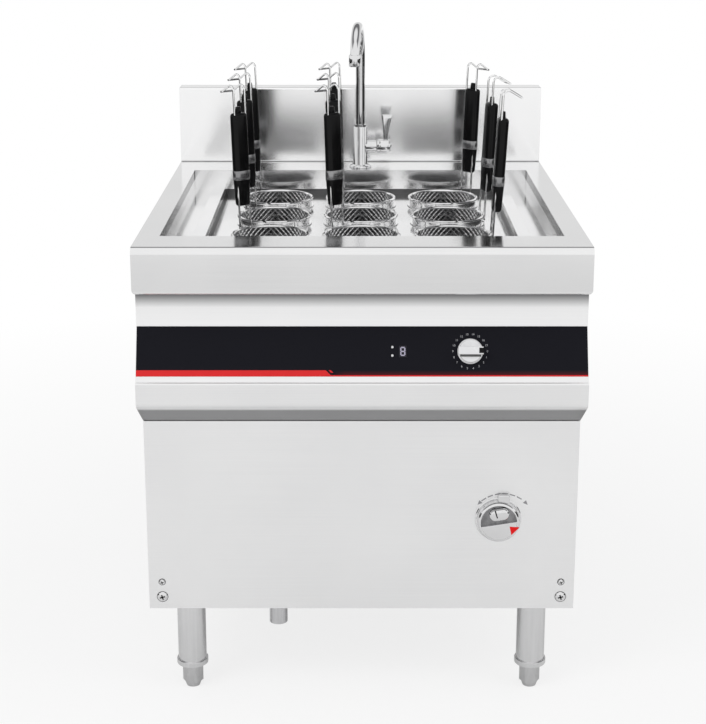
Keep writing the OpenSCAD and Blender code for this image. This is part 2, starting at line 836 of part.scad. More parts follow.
module console_shell() {
    color("gainsboro") difference() {
        union() {
            along_x(unit_w) folded(console_path);
            for (end = [-1, 1]) translate([end * (side - sheet / 2), 0, 0]) along_x(sheet)
                polygon(concat([[panel_back, console_low], [panel_y, console_low]], console_front,
                    [[panel_back, apron_z]]));
            // Flange up behind the apron
            block([-side + 2 * sheet, fascia_y, apron_z - sheet],
                  [side - 2 * sheet, fascia_y + sheet, under_top]);
        }
        // The fold along the bottom stays between the frame's uprights
        for (end = [-1, 1]) mirror([end < 0 ? 1 : 0, 0, 0])
            block([frame_clear, panel_back, console_low - 1], [side + 1, back, top_h]);
        on_face() face_openings(fit_gap);
    }
}

module control_overlay() {
    color([0.11, 0.11, 0.12]) on_face() difference() {
        translate([-overlay_w / 2, -overlay_len / 2, 0]) cube([overlay_w, overlay_len, overlay_t]);
        face_openings(fit_gap);
    }
}

module overlay_stripe() {
    low = -overlay_len / 2;
    slope = stripe_h - stripe_line;
    dash_h = stripe_h / 2 - stripe_line / 2;
    dash_gap = 2 * stripe_line;
    color([0.86, 0.2, 0.22]) on_face() translate([0, low, overlay_t]) linear_extrude(stripe_t) {
        polygon([[-overlay_w / 2, 0], [overlay_w / 2, 0], [overlay_w / 2, stripe_line],
            [stripe_step_x + slope, stripe_line], [stripe_step_x, stripe_h], [-overlay_w / 2, stripe_h]]);
        // Short dash past the step
        translate([stripe_step_x + dash_gap, stripe_h - dash_h])
            polygon([[0, dash_h], [dash_h, 0], [2 * dash_h, 0], [dash_h, dash_h]]);
    }
}

module display_lenses() {
    color([0.25, 0.05, 0.05]) on_face() {
        translate([display_x, 0, (overlay_t - sheet) / 2])
            cube([display_w, display_h, overlay_t + sheet], center = true);
        lamp_places() translate([0, 0, -sheet]) cylinder(d = lamp_d, h = 2 * overlay_t + sheet);
    }
}

module control_board() {
    margin = 25;
    left = display_x - lamp_offset - margin;
    right = knob_x + margin;
    board_len = overlay_len / 2;
    post_d = 6;
    post_inset = 5;
    encoder_w = 1.8 * encoder_bush_d;
    color("seagreen") on_face() difference() {
        union() {
            translate([left, -board_len / 2, board_z - board_t]) cube([right - left, board_len, board_t]);
            for (x = [left + post_inset, right - post_inset]) for (y = [-1, 1])
                translate([x, y * (board_len / 2 - post_inset), board_z - board_t])
                    cylinder(d = post_d, h = standoff_h + board_t);
            translate([knob_x - encoder_w / 2, -encoder_w / 2, board_z - board_t])
                cube([encoder_w, encoder_w, standoff_h + board_t]);
            translate([knob_x, 0, -sheet]) cylinder(d = encoder_bush_d, h = sheet + overlay_t);
            // Digit module and lamps behind their windows
            translate([display_x - display_w / 2, -display_h / 2, board_z - board_t])
                cube([display_w, display_h, standoff_h + board_t - running_gap]);
            lamp_places() translate([0, 0, board_z - board_t])
                cylinder(d = lamp_d, h = standoff_h + board_t - running_gap);
        }
        translate([knob_x, 0, board_z + encoder_floor])
            cylinder(d = encoder_shaft_d + 2 * bearing_gap, h = knob_h + standoff_h);
    }
}

module encoder_shaft() {
    low = board_z + encoder_floor + running_gap;
    color("silver") on_face() translate([knob_x, 0, low])
        cylinder(d = encoder_shaft_d, h = overlay_t + knob_h / 2 - low);
}

module level_knob() {
    skirt_h = knob_h / 5;
    skirt_rim = 2;
    body_d = knob_d - 2 * skirt_rim;
    bar_w = knob_d / 3;
    color("white") on_face() translate([knob_x, 0, overlay_t + running_gap]) difference() {
        union() {
            cylinder(d = knob_d, h = skirt_h);
            cylinder(d = body_d, h = 3 * skirt_h);
            intersection() {
                translate([-knob_d / 2, -bar_w / 2, 0]) cube([knob_d, bar_w, knob_h]);
                cylinder(d = body_d, h = knob_h);
            }
        }
        translate([0, 0, -1]) cylinder(d = encoder_shaft_d + 2 * bearing_gap, h = 1 + knob_h / 2);
    }
}

// Cabinet

module at_screws(rise) {
    for (x = [screw_inset - side, side - screw_inset])
        translate([x, panel_y, panel_low + rise]) rotate([90, 0, 0]) children();
}

// Holes for the panel screws, through whatever lies behind the panel
module screw_holes() {
    for (rise = [screw_rise, screw_rise + screw_pitch]) at_screws(rise) translate([0, 0, -screw_grip - 1])
        cylinder(d = screw_shank_d + 2 * fit_gap, h = screw_grip + 2);
}

module front_panel() {
    panel_top = console_low - panel_reveal;
    color("gainsboro") difference() {
        union() {
            block([-side, panel_y, panel_low], [side, panel_back, panel_top]);
            for (z = [panel_low, panel_top - sheet])
                block([-frame_clear, panel_y, z], [frame_clear, panel_y + panel_fold, z + sheet]);
        }
        on_drain() translate([0, 0, -panel_fold])
            cylinder(d = drain_neck_d + 2 * running_gap, h = 2 * panel_fold);
        screw_holes();
    }
}

module panel_screw(d) {
    dome = [for (a = [0 : 15 : 90]) [d / 2 * cos(a), screw_head_h * sin(a)]];
    rotate_extrude() polygon(concat([[0, 0]], dome));
    translate([0, 0, -screw_grip]) cylinder(d = screw_shank_d, h = screw_grip + screw_head_h / 2);
}

module panel_screws() {
    color("silver") {
        at_screws(screw_rise) panel_screw(screw_big_d);
        at_screws(screw_rise + screw_pitch) panel_screw(screw_small_d);
    }
}

module side_panel() {
    color("gainsboro") block([side - sheet, panel_back, panel_low], [side, back - sheet, apron_z]);
}

module side_panel_left() {
    mirror([1, 0, 0]) side_panel();
}

module side_panel_right() {
    side_panel();
}

module rear_panel() {
    louvre_w = unit_w / 4;
    louvre_h = 6;
    louvre_pitch = 18;
    louvre_z = base_top + 2 * base_flange;
    color("gainsboro") difference() {
        block([-side, back - sheet, panel_low], [side, back, apron_z]);
        for (x = [-1, 1]) for (i = [0 : louvre_count - 1])
            translate([x * unit_w / 4 - louvre_w / 2, back - 2 * sheet, louvre_z + i * louvre_pitch])
                cube([louvre_w, 3 * sheet, louvre_h]);
    }
}

module base_pan() {
    slot_pitch = 16;
    slot_w = slot_pitch / 2;
    color("lightgray") difference() {
        block([-side + sheet, panel_back, base_z], [side - sheet, back - sheet, base_top + base_flange]);
        block([-side + 2 * sheet, frame_front, base_top], [side - 2 * sheet, frame_back, top_h]);
        // Air inlet below the fan
        intersection() {
            translate([0, fan_y, base_z - 1]) cylinder(r = fan_bore_r, h = sheet + 2);
            for (i = [-4 : 4]) translate([i * slot_pitch, fan_y, base_z])
                cube([slot_w, fan_w, 4 * sheet], center = true);
        }
        for (place = [[drain_x, valve_y], [-overflow_x, overflow_y]])
            translate([place[0], place[1], base_z - 1]) cylinder(d = pipe_d + 2 * fit_gap, h = sheet + 2);
        translate([inlet_x, tap_y, base_z - 1]) cylinder(d = inlet_d + 2 * fit_gap, h = sheet + 2);
        translate([gland_x, gland_y, base_z - 1]) cylinder(d = gland_d + 2 * fit_gap, h = sheet + 2);
        screw_holes();
    }
}

// One upright angle at the back right corner of what it stands in
module upright(x_end, y_end) {
    translate([x_end * frame_x, y_end < 0 ? frame_front : frame_back, base_top])
        mirror([x_end > 0 ? 1 : 0, 0, 0]) mirror([0, y_end > 0 ? 1 : 0, 0]) {
            cube([angle_w, angle_t, under_top - base_top]);
            cube([angle_t, angle_w, under_top - base_top]);
        }
}

module chassis_frame() {
    color("darkgray") difference() {
        union() {
            for (x = [-1, 1]) {
                for (y = [-1, 1]) upright(x, y);
                mirror([x < 0 ? 1 : 0, 0, 0]) {
                    block([frame_x - angle_w, frame_front, rail_top - angle_t],
                          [frame_x, frame_back, rail_top]);
                    block([frame_x - angle_t, frame_front, rail_top - angle_w],
                          [frame_x, frame_back, rail_top]);
                }
            }
        }
        screw_holes();
    }
}

module leg_tubes() {
    leg_len = base_z - collar_z;
    color("silver") at_legs() translate([0, 0, collar_z]) difference() {
        union() {
            cylinder(d = leg_d, h = leg_len);
            cylinder(d = collar_d, h = collar_h);
            translate([0, 0, leg_len - leg_flange_t]) cylinder(d = leg_flange_d, h = leg_flange_t);
        }
        translate([0, 0, plug_h]) cylinder(d = leg_d - 2 * leg_wall, h = leg_len - plug_h - leg_flange_t);
        translate([0, 0, -1]) cylinder(d = foot_screw_d + 2 * running_gap, h = plug_h + 2);
    }
}

module foot(x_end, y) {
    screw_spare = 10;
    color("silver") translate([x_end * leg_x, y, 0]) {
        cylinder(d1 = foot_tip_d, d2 = foot_flats - 1, h = foot_tip_h);
        translate([0, 0, foot_tip_h]) hexagon(foot_flats, foot_h - foot_tip_h);
        translate([0, 0, foot_h]) cylinder(d = foot_screw_d, h = plug_h + foot_travel + screw_spare);
    }
}

// Tap

module tap_body() {
    color("silver") {
        translate([0, tap_y, 0]) difference() {
            union() {
                translate([0, 0, top_h]) cylinder(d = tap_flange_d, h = tap_flange_h);
                translate([0, 0, top_h]) cylinder(d = tap_body_d, h = tap_body_h);
                translate([0, 0, top_h - tap_shank_len]) cylinder(d = tap_shank_d, h = tap_shank_len + 1);
                translate([0, 0, lever_z]) rotate([0, 90, 0]) cylinder(d = barrel_d, h = barrel_end);
            }
            translate([0, 0, tap_top - spout_socket])
                cylinder(d = spout_d + 2 * bearing_gap, h = spout_socket + 1);
            // Waterway
            translate([0, 0, top_h - tap_shank_len - 1])
                cylinder(d = tap_shank_d / 2, h = tap_shank_len + tap_body_h - spout_socket / 2);
            translate([tap_body_d / 2, 0, lever_z]) rotate([0, 90, 0])
                cylinder(d = spindle_d + 2 * bearing_gap, h = barrel_end);
        }
        translate([0, tap_y, under_top - tap_nut_h]) difference() {
            hexagon(tap_nut_flats, tap_nut_h);
            translate([0, 0, -1]) cylinder(d = tap_shank_d + 2 * fit_gap, h = tap_nut_h + 2);
        }
    }
}

module tap_spout() {
    riser_low = tap_top - spout_socket + running_gap;
    ring_w = 3;
    ring_h = 5;
    color("silver") translate([0, tap_y, 0]) rotate(spout_turn) difference() {
        union() {
            translate([0, 0, riser_low]) cylinder(d = spout_d, h = arch_z - riser_low);
            translate([0, 0, tap_top + running_gap]) cylinder(d = spout_d + 2 * ring_w, h = ring_h);
            translate([0, -arch_r, arch_z]) rotate([0, -90, 0]) rotate([0, 0, -90])
                rotate_extrude(angle = 180) translate([arch_r, 0]) circle(d = spout_d);
            translate([0, -spout_reach, arch_z - nozzle_drop]) cylinder(d = nozzle_d, h = nozzle_len);
        }
        translate([0, 0, riser_low - 1]) cylinder(d = spout_d - 2 * spout_wall, h = arch_z - riser_low + 1);
        translate([0, -arch_r, arch_z]) rotate([0, -90, 0]) rotate([0, 0, -90])
            rotate_extrude(angle = 180) translate([arch_r, 0]) circle(d = spout_d - 2 * spout_wall);
        translate([0, -spout_reach, arch_z - nozzle_drop - 1])
            cylinder(d = spout_d - 2 * spout_wall, h = nozzle_drop + 1);
    }
}

module tap_lever() {
    cap_x = barrel_end + running_gap;
    paddle_x = cap_x + 0.6 * cap_len;
    spindle_len = barrel_end - tap_body_d / 2 - running_gap;
    color("silver") translate([0, tap_y, lever_z]) {
        translate([cap_x, 0, 0]) rotate([0, 90, 0]) {
            cylinder(d = cap_d, h = 0.7 * cap_len);
            translate([0, 0, 0.7 * cap_len]) cylinder(d1 = cap_d, d2 = 0.7 * cap_d, h = 0.3 * cap_len);
        }
        translate([cap_x - spindle_len, 0, 0]) rotate([0, 90, 0])
            cylinder(d = spindle_d, h = spindle_len + 1);
        translate([paddle_x, paddle_t / 2, 0]) rotate([90, 0, 0]) linear_extrude(paddle_t)
            polygon([[-paddle_root_w / 2, cap_d / 4], [paddle_root_w / 2, cap_d / 4],
                [paddle_w / 2, cap_d / 2 + paddle_len], [-paddle_w / 2, cap_d / 2 + paddle_len]]);
    }
}

module supply_pipe() {
    top_z = top_h - tap_shank_len;
    nut_top = base_top + inlet_nut_h;
    color("peru") translate([0, tap_y, 0]) {
        translate([0, 0, supply_z + supply_bend])
            tube(supply_d, supply_wall, top_z - supply_z - supply_bend);
        translate([supply_bend, 0, supply_z + supply_bend]) rotate([0, 180, 0])
            tube_bend(supply_d, supply_wall, supply_bend);
        translate([supply_bend, 0, supply_z]) rotate([0, 90, 0])
            tube(supply_d, supply_wall, inlet_x - 2 * supply_bend);
        translate([inlet_x - supply_bend, 0, supply_z - supply_bend])
            tube_bend(supply_d, supply_wall, supply_bend);
        translate([inlet_x, 0, nut_top]) tube(supply_d, supply_wall, supply_z - supply_bend - nut_top);
    }
}

module water_inlet() {
    color("goldenrod") translate([inlet_x, tap_y, 0]) difference() {
        union() {
            translate([0, 0, base_z - inlet_nut_h - inlet_len])
                cylinder(d = inlet_d, h = inlet_len + 2 * inlet_nut_h + sheet);
            translate([0, 0, base_z - inlet_nut_h]) hexagon(1.4 * inlet_d, inlet_nut_h);
            translate([0, 0, base_top]) hexagon(1.4 * inlet_d, inlet_nut_h);
        }
        translate([0, 0, base_z - inlet_nut_h - inlet_len - 1])
            cylinder(d = supply_d - 2 * supply_wall, h = inlet_len + 3 * inlet_nut_h + sheet);
    }
}

// Drain

module drain_bezel() {
    color("silver") on_drain() difference() {
        cylinder(d = bezel_d, h = bezel_t);
        translate([0, 0, -1]) cylinder(d = drain_neck_d + 2 * running_gap, h = bezel_t + 2);
    }
}

module drain_handle() {
    knob_r = drain_knob_d / 2;
    rod_end = handle_seat + drain_skirt_h;
    face_z = rod_end + drain_face_h;
    floor_z = rod_end + drain_floor_t;
    edge = arc([knob_r - drain_edge_round, face_z - drain_edge_round], drain_edge_round, 0, 90);
    color("silver") on_drain() difference() {
        union() {
            difference() {
                rotate_extrude()
                    polygon(concat([[0, handle_seat], [knob_r, handle_seat]], edge, [[0, face_z]]));
                // Finger pocket in the upper half
                translate([0, 0, floor_z]) linear_extrude(drain_face_h) intersection() {
                    circle(r = knob_r - drain_rim_w);
                    rotate(drain_tilt) translate([-knob_r, -drain_pocket_drop])
                        square([drain_knob_d, drain_knob_d]);
                }
            }
            // Neck through the bezel and the panel
            translate([0, 0, -sheet]) cylinder(d = drain_neck_d, h = rod_end + sheet);
            translate([0, drain_boss_up, rod_end + drain_floor_t / 2])
                linear_extrude(drain_boss_h - rod_end - drain_floor_t / 2)
                    rotate(90 + drain_tilt) oval(drain_boss_w, drain_boss_t);
            translate([drain_tab_shift - drain_tab_w / 2, 0, handle_seat])
                cube([drain_tab_w, knob_r + drain_tab_len, drain_tab_t]);
        }
        translate([0, 0, -sheet - 1]) cylinder(d = drain_rod_d + 2 * bearing_gap, h = sheet + 1 + rod_end);
    }
}

module drain_spindle() {
    rod_end = handle_seat + drain_skirt_h - running_gap;
    rod_len = valve_setback + rod_end - (drain_bore + ball_d) / 4;
    color("lightgray") {
        on_drain() translate([0, 0, rod_end - rod_len]) cylinder(d = drain_rod_d, h = rod_len);
        // Ball, closed: its bore lies across the pipe
        translate([drain_x, valve_y, drain_h]) difference() {
            sphere(r = ball_r);
            rotate([0, 90, 0]) cylinder(d = drain_bore, h = 2 * ball_d, center = true);
        }
    }
}

module drain_valve() {
    boss_d = 3 * drain_rod_d;
    boss_rise = 16;
    boss_len = valve_d / 2 + boss_rise;
    color("goldenrod") translate([drain_x, valve_y, drain_h]) difference() {
        union() {
            translate([0, 0, -valve_h / 2]) cylinder(d = valve_d, h = valve_h);
            rotate([90, 0, 0]) cylinder(d = boss_d, h = boss_len);
        }
        sphere(r = ball_r + running_gap);
        translate([0, 0, -valve_h]) cylinder(d = drain_bore, h = 2 * valve_h);
        rotate([90, 0, 0]) cylinder(d = drain_rod_d + 2 * bearing_gap, h = boss_len + 1);
    }
}

module drain_pipe() {
    valve_top = drain_h + valve_h / 2;
    valve_low = drain_h - valve_h / 2;
    color("silver") translate([drain_x, valve_y, 0]) {
        difference() {
            union() {
                translate([0, 0, valve_top]) cylinder(d = pipe_d, h = tank_under - valve_top);
                translate([0, 0, tank_under - pipe_flange_t])
                    cylinder(d = pipe_flange_d, h = pipe_flange_t);
            }
            translate([0, 0, valve_top - 1])
                cylinder(d = pipe_d - 2 * pipe_wall, h = tank_under - valve_top + 2);
        }
        difference() {
            union() {
                translate([0, 0, pipe_end]) cylinder(d = pipe_d, h = valve_low - pipe_end);
                translate([0, 0, base_z - pipe_nut_h]) hexagon(pipe_nut_flats, pipe_nut_h);
            }
            translate([0, 0, pipe_end - 1])
                cylinder(d = pipe_d - 2 * pipe_wall, h = valve_low - pipe_end + 2);
        }
    }
}

module overflow_pipe() {
    color("silver") translate([-overflow_x, overflow_y, 0]) difference() {
        union() {
            translate([0, 0, pipe_end]) cylinder(d = pipe_d, h = gutter_under - pipe_end);
            translate([0, 0, base_z - pipe_nut_h]) hexagon(pipe_nut_flats, pipe_nut_h);
        }
        translate([0, 0, pipe_end - 1])
            cylinder(d = pipe_d - 2 * pipe_wall, h = gutter_under - pipe_end + 2);
    }
}

// Heating

module induction_coil() {
    color("chocolate") translate([0, tank_mid, carrier_top]) difference() {
        cylinder(d = coil_d, h = coil_t);
        translate([0, 0, -1]) cylinder(d = coil_hole, h = coil_t + 2);
    }
}

module coil_carrier() {
    color("ivory") {
        for (y = [-1, 1]) translate([0, tank_mid + y * carrier_pitch / 2, 0])
            block([-frame_x + angle_t, -carrier_w / 2, rail_top],
                  [frame_x - angle_t, carrier_w / 2, carrier_top]);
        // Insulating board between the coil and the tank
        translate([0, tank_mid, coil_top]) cylinder(d = coil_d, h = coil_board_t);
    }
}

module power_module() {
    sink_w = module_w - 6 * module_wall;
    sink_d = module_d - 6 * module_wall;
    fin_h = module_h / 2;
    sink_t = 8;
    fin_t = 3;
    color("dimgray") translate([0, module_y, base_top]) {
        difference() {
            block([-module_w / 2, -module_d / 2, 0], [module_w / 2, module_d / 2, module_h]);
            block([module_wall - module_w / 2, -module_d, -1],
                  [module_w / 2 - module_wall, module_d / 2 - module_wall, module_h - module_wall]);
        }
        block([-sink_w / 2, -sink_d / 2, 0], [sink_w / 2, sink_d / 2, sink_t]);
        for (i = [0 : fin_count - 1])
            translate([-sink_w / 2 + i * (sink_w - fin_t) / (fin_count - 1), -sink_d / 2, 0])
                cube([fin_t, sink_d, sink_t + fin_h]);
    }
}

module fan_housing() {
    strut_w = 8;
    strut_bite = 1;
    color([0.15, 0.15, 0.16]) translate([0, fan_y, base_top]) difference() {
        union() {
            difference() {
                block([-fan_w / 2, -fan_w / 2, 0], [fan_w / 2, fan_w / 2, fan_h]);
                translate([0, 0, -1]) cylinder(r = fan_bore_r, h = fan_h + 2);
            }
            for (a = [0, 90]) rotate(a) translate([-fan_bore_r - strut_bite, -strut_w / 2, 0])
                cube([2 * (fan_bore_r + strut_bite), strut_w, fan_strut_t]);
            cylinder(d = hub_d, h = fan_strut_t);
            cylinder(d = 2 * fan_shaft_d, h = fan_h / 3);
        }
        translate([0, 0, fan_strut_t / 2]) cylinder(d = fan_shaft_d + 2 * bearing_gap, h = fan_h);
    }
}

module fan_rotor() {
    hub_z = fan_h / 3 + running_gap;
    top_gap = 3;
    hub_h = fan_h - hub_z - top_gap;
    blade_r = fan_bore_r - blade_gap;
    blade_t = 2;
    blade_pitch = 35;
    blade_root = hub_d / 2 - 1.5 * blade_t;
    color([0.2, 0.2, 0.21]) translate([0, fan_y, base_top]) {
        translate([0, 0, hub_z]) cylinder(d = hub_d, h = hub_h);
        translate([0, 0, fan_strut_t / 2 + running_gap]) cylinder(d = fan_shaft_d, h = hub_z);
        intersection() {
            translate([0, 0, hub_z]) cylinder(r = blade_r, h = hub_h);
            for (i = [0 : blade_count - 1]) rotate(i * 360 / blade_count)
                translate([0, 0, hub_z + hub_h / 2]) rotate([blade_pitch, 0, 0])
                    translate([blade_root, -hub_h, -blade_t / 2]) cube([blade_r, 2 * hub_h, blade_t]);
        }
    }
}

module terminal_block() {
    ways = 5;
    way_w = 14;
    block_d = 28;
    block_h = 26;
    rib_t = 2;
    color("ivory") translate([gland_x - ways * way_w / 2, gland_y - gland_flats - block_d, base_top]) {
        cube([ways * way_w, block_d, block_h / 2]);
        for (i = [0 : ways]) translate([i * (ways * way_w - rib_t) / ways, 0, 0])
            cube([rib_t, block_d, block_h]);
    }
}

module cable_gland() {
    collar_len = 12;
    color([0.12, 0.12, 0.13]) translate([gland_x, gland_y, 0]) difference() {
        union() {
            translate([0, 0, base_z - collar_len]) hexagon(gland_flats, collar_len);
            translate([0, 0, base_z - 2 * collar_len])
                cylinder(d = gland_d, h = 2 * collar_len + sheet + collar_len);
            translate([0, 0, base_top]) hexagon(gland_flats, collar_len / 2);
        }
        translate([0, 0, base_z - 3 * collar_len]) cylinder(d = gland_bore, h = 5 * collar_len);
    }
}

worktop();
splash_back();
gutter_tray();
tank();
basket_plate();
console_shell();
control_overlay();
overlay_stripe();
display_lenses();
front_panel();
side_panel_left();
side_panel_right();
rear_panel();
base_pan();
chassis_frame();
leg_tubes();
panel_screws();
tap_body();
supply_pipe();
water_inlet();
control_board();
induction_coil();
coil_carrier();
power_module();
fan_housing();
terminal_block();
cable_gland();
drain_valve();
drain_pipe();
drain_bezel();
overflow_pipe();
tap_spout();
tap_lever();
level_knob();
encoder_shaft();
drain_handle();
drain_spindle();
fan_rotor();
foot(-1, leg_front_y);  // foot_front_left
foot(1, leg_front_y);  // foot_front_right
foot(-1, leg_back_y);  // foot_rear_left
foot(1, leg_back_y);  // foot_rear_right
for (row = [0 : 2]) for (column = [0 : 2]) {
    basket(row, column);
    grip(row, column);
}
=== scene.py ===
import json
import math

import bmesh
import bpy
from mathutils import Matrix, Vector

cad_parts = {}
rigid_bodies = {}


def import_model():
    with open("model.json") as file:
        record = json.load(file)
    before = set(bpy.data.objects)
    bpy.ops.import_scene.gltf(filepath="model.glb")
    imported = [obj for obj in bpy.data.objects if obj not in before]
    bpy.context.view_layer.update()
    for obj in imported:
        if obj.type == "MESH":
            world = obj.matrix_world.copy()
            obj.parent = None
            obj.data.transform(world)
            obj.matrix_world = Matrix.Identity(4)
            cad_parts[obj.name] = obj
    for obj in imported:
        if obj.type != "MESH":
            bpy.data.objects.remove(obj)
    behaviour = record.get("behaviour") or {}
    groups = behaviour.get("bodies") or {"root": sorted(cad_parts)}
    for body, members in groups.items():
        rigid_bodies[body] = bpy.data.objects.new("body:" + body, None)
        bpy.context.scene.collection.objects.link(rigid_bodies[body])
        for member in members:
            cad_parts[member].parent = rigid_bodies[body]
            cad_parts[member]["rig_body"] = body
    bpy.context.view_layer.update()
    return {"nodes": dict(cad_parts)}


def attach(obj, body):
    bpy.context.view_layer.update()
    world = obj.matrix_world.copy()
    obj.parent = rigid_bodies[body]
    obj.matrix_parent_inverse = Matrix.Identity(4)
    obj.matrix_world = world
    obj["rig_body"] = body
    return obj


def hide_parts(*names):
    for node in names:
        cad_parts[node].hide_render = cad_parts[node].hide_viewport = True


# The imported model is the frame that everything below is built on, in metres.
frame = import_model()
mm = 0.001

# Worktop and splash back: stainless sheet, folded on a press brake, welded at its corners and polished.
# The splash stands on the worktop's back edge, on a foot folded in under its front sheet.


def put(tree, kind, values=None, **settings):
    """Adds a shader node; a value that is a socket is linked, and any other is set."""
    made = tree.nodes.new(kind)
    for name, value in settings.items():
        setattr(made, name, value)
    for name, value in (values or {}).items():
        if isinstance(value, bpy.types.NodeSocket):
            tree.links.new(value, made.inputs[name])
        else:
            made.inputs[name].default_value = value
    return made


def spot(tree):
    """The place on a piece, which its patterns are drawn by."""
    return put(tree, "ShaderNodeTexCoord").outputs["Object"]


def maths(tree, operation, *values):
    return put(tree, "ShaderNodeMath", dict(enumerate(values)), operation=operation).outputs[0]


def ramp(tree, value, low, high, start, end):
    """Runs from start to end while a value runs from low to high."""
    return put(tree, "ShaderNodeMapRange", {0: value, 1: low, 2: high, 3: start, 4: end}).outputs[0]


def tinted(tree, share, first, second):
    """Mixes two colours by the share of the second."""
    return put(tree, "ShaderNodeMix", {0: share, 6: first, 7: second}, data_type="RGBA").outputs[2]


def noise(tree, place, scale, detail, **more):
    values = {"Vector": place, "Scale": scale, "Detail": detail, **more}
    return put(tree, "ShaderNodeTexNoise", values).outputs[0]


def bumped(tree, height, strength, depth):
    values = {"Height": height, "Strength": strength, "Distance": depth}
    return put(tree, "ShaderNodeBump", values).outputs[0]


def started(name, values):
    """A new material, with what is the same all over set on its shader's own sockets."""
    material = bpy.data.materials.new(name)
    material.use_nodes = True
    for socket, value in values.items():
        material.node_tree.nodes["Principled BSDF"].inputs[socket].default_value = value
    return material


def feed(tree, values):
    """Links what changes over the surface to the shader."""
    for socket, value in values.items():
        tree.links.new(value, tree.nodes["Principled BSDF"].inputs[socket])


def make_ground_grain():
    """Lines left by grinding a sheet, drawn out along one direction, with faint cloudy smears."""
    group = bpy.data.node_groups.new("ground_grain", "ShaderNodeTree")
    for name, kind in (("Stretch", "Vector"), ("Roughness", "Float"), ("Spread", "Float")):
        group.interface.new_socket(name, in_out="INPUT", socket_type=f"NodeSocket{kind}")
    for name in ("Shade", "Roughness", "Height"):
        group.interface.new_socket(name, in_out="OUTPUT", socket_type="NodeSocketFloat")
    given = group.nodes.new("NodeGroupInput").outputs
    result = group.nodes.new("NodeGroupOutput").inputs
    place = spot(group)
    drawn = put(group, "ShaderNodeVectorMath", {0: place, 1: given["Stretch"]}, operation="MULTIPLY")
    lines = noise(group, drawn.outputs[0], scale=1, detail=4, Roughness=0.65)
    both = maths(group, "ADD", lines, noise(group, place, scale=5, detail=3))
    swing = maths(group, "SUBTRACT", both, 1)
    rough = maths(group, "MULTIPLY_ADD", swing, given["Spread"], given["Roughness"])
    shade = ramp(group, both, 0.6, 1.4, 0, 1)
    for name, socket in (("Shade", shade), ("Roughness", rough), ("Height", lines)):
        group.links.new(socket, result[name])
    return group


ground_grain = make_ground_grain()


def steel(name, dark, light, roughness, stretch, spread=0.1, bump=0.02, smear=0):
    """Bare metal with a ground or drawn finish. Long lines smear what it mirrors across themselves."""
    material = started(name, {"Metallic": 1, "Anisotropic": smear, "Anisotropic Rotation": 0.25})
    tree = material.node_tree
    grain = put(tree, "ShaderNodeGroup", {"Stretch": stretch, "Roughness": roughness, "Spread": spread},
                node_tree=ground_grain).outputs
    feed(tree, {"Base Color": tinted(tree, grain["Shade"], (*dark, 1), (*light, 1)),
                "Roughness": grain["Roughness"],
                "Normal": bumped(tree, grain["Height"], bump, 0.2 * mm)})
    return material


def linked(shape, name, material):
    """Puts a shape into the scene as an object of one material."""
    mesh = bpy.data.meshes.new(name)
    shape.to_mesh(mesh)
    shape.free()
    mesh.materials.append(material)
    piece = bpy.data.objects.new(name, mesh)
    bpy.context.scene.collection.objects.link(piece)
    return piece


def finished(shape, name, body, material, nodes=(), crease=30):
    """Turns a shape into a piece that rides on a body, and stands for the CAD nodes that it replaces."""
    piece = linked(shape, name, material)
    piece.data.shade_smooth()
    piece.data.set_sharp_from_angle(angle=math.radians(crease))
    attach(piece, body)
    if nodes:
        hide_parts(*nodes)
    return piece


def eased(shape, radius, segments=2, sharper=28):
    """Rounds every edge of a shape that is sharper than an angle."""
    edges = [e for e in shape.edges if e.is_manifold and e.calc_face_angle() > math.radians(sharper)]
    bmesh.ops.bevel(shape, geom=edges, offset=radius, offset_type="OFFSET", segments=segments,
                    profile=0.5, affect="EDGES", clamp_overlap=True, material=-1)
    return shape


def flattened(mesh, crease=math.radians(30)):
    """Weighs the shading normals by face size, so that sheets stay flat beside their rounded edges."""
    around = {}
    for face in mesh.polygons:
        for vert in face.vertices:
            around.setdefault(vert, []).append(face)
    normals = []
    for face in mesh.polygons:
        for vert in face.vertices:
            near = [f for f in around[vert] if f.normal.dot(face.normal) > math.cos(crease)]
            normals.append(sum((f.normal * f.area for f in near), Vector()).normalized())
    mesh.normals_split_custom_set(normals)


def softened(node, material, radius=0.4 * mm, segments=2):
    """A copy of a CAD node with its cut and folded edges rounded, which stands for the node."""
    cad = frame["nodes"][node]
    shape = bmesh.new()
    shape.from_mesh(cad.data)
    bmesh.ops.remove_doubles(shape, verts=shape.verts, dist=0.01 * mm)
    bmesh.ops.dissolve_limit(shape, angle_limit=math.radians(0.5), verts=shape.verts, edges=shape.edges)
    eased(shape, radius, segments)
    piece = finished(shape, f"{node}_finished", cad["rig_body"], material, [node])
    flattened(piece.data)


along_x, along_y = (3, 700, 700), (700, 3, 700)
softened("worktop", steel("polished_sheet", (0.8, 0.8, 0.805), (0.87, 0.87, 0.87),
                          roughness=0.12, stretch=along_x, spread=0.04, bump=0.01))
softened("splash_back", steel("upright_sheet", (0.9, 0.9, 0.905), (0.97, 0.97, 0.97),
                              roughness=0.16, stretch=along_x, spread=0.04, bump=0.01, smear=0.7))

# Gutter tray, tank and basket plate: polished stainless sheet. The tray hangs under the worktop's opening,
# the tank is welded under its ridge, and the plate lies on two ledges with a hole for each basket.
gutter_wall, wall_strip, strip_fade = 359 * mm, 879 * mm, 2 * mm


def axes_of(tree, place):
    return put(tree, "ShaderNodeSeparateXYZ", {0: place}).outputs


def dulled(material, share, colour):
    """Darkens a sheet's colour towards a dark one, by a share that follows from the place on it: painted
    shade.
    """
    tree = material.node_tree
    polished = tree.nodes["Principled BSDF"].inputs["Base Color"].links[0].from_socket
    shaded_share = share(tree, axes_of(tree, spot(tree)))
    feed(tree, {"Base Color": tinted(tree, shaded_share, polished, (*colour, 1))})
    return material


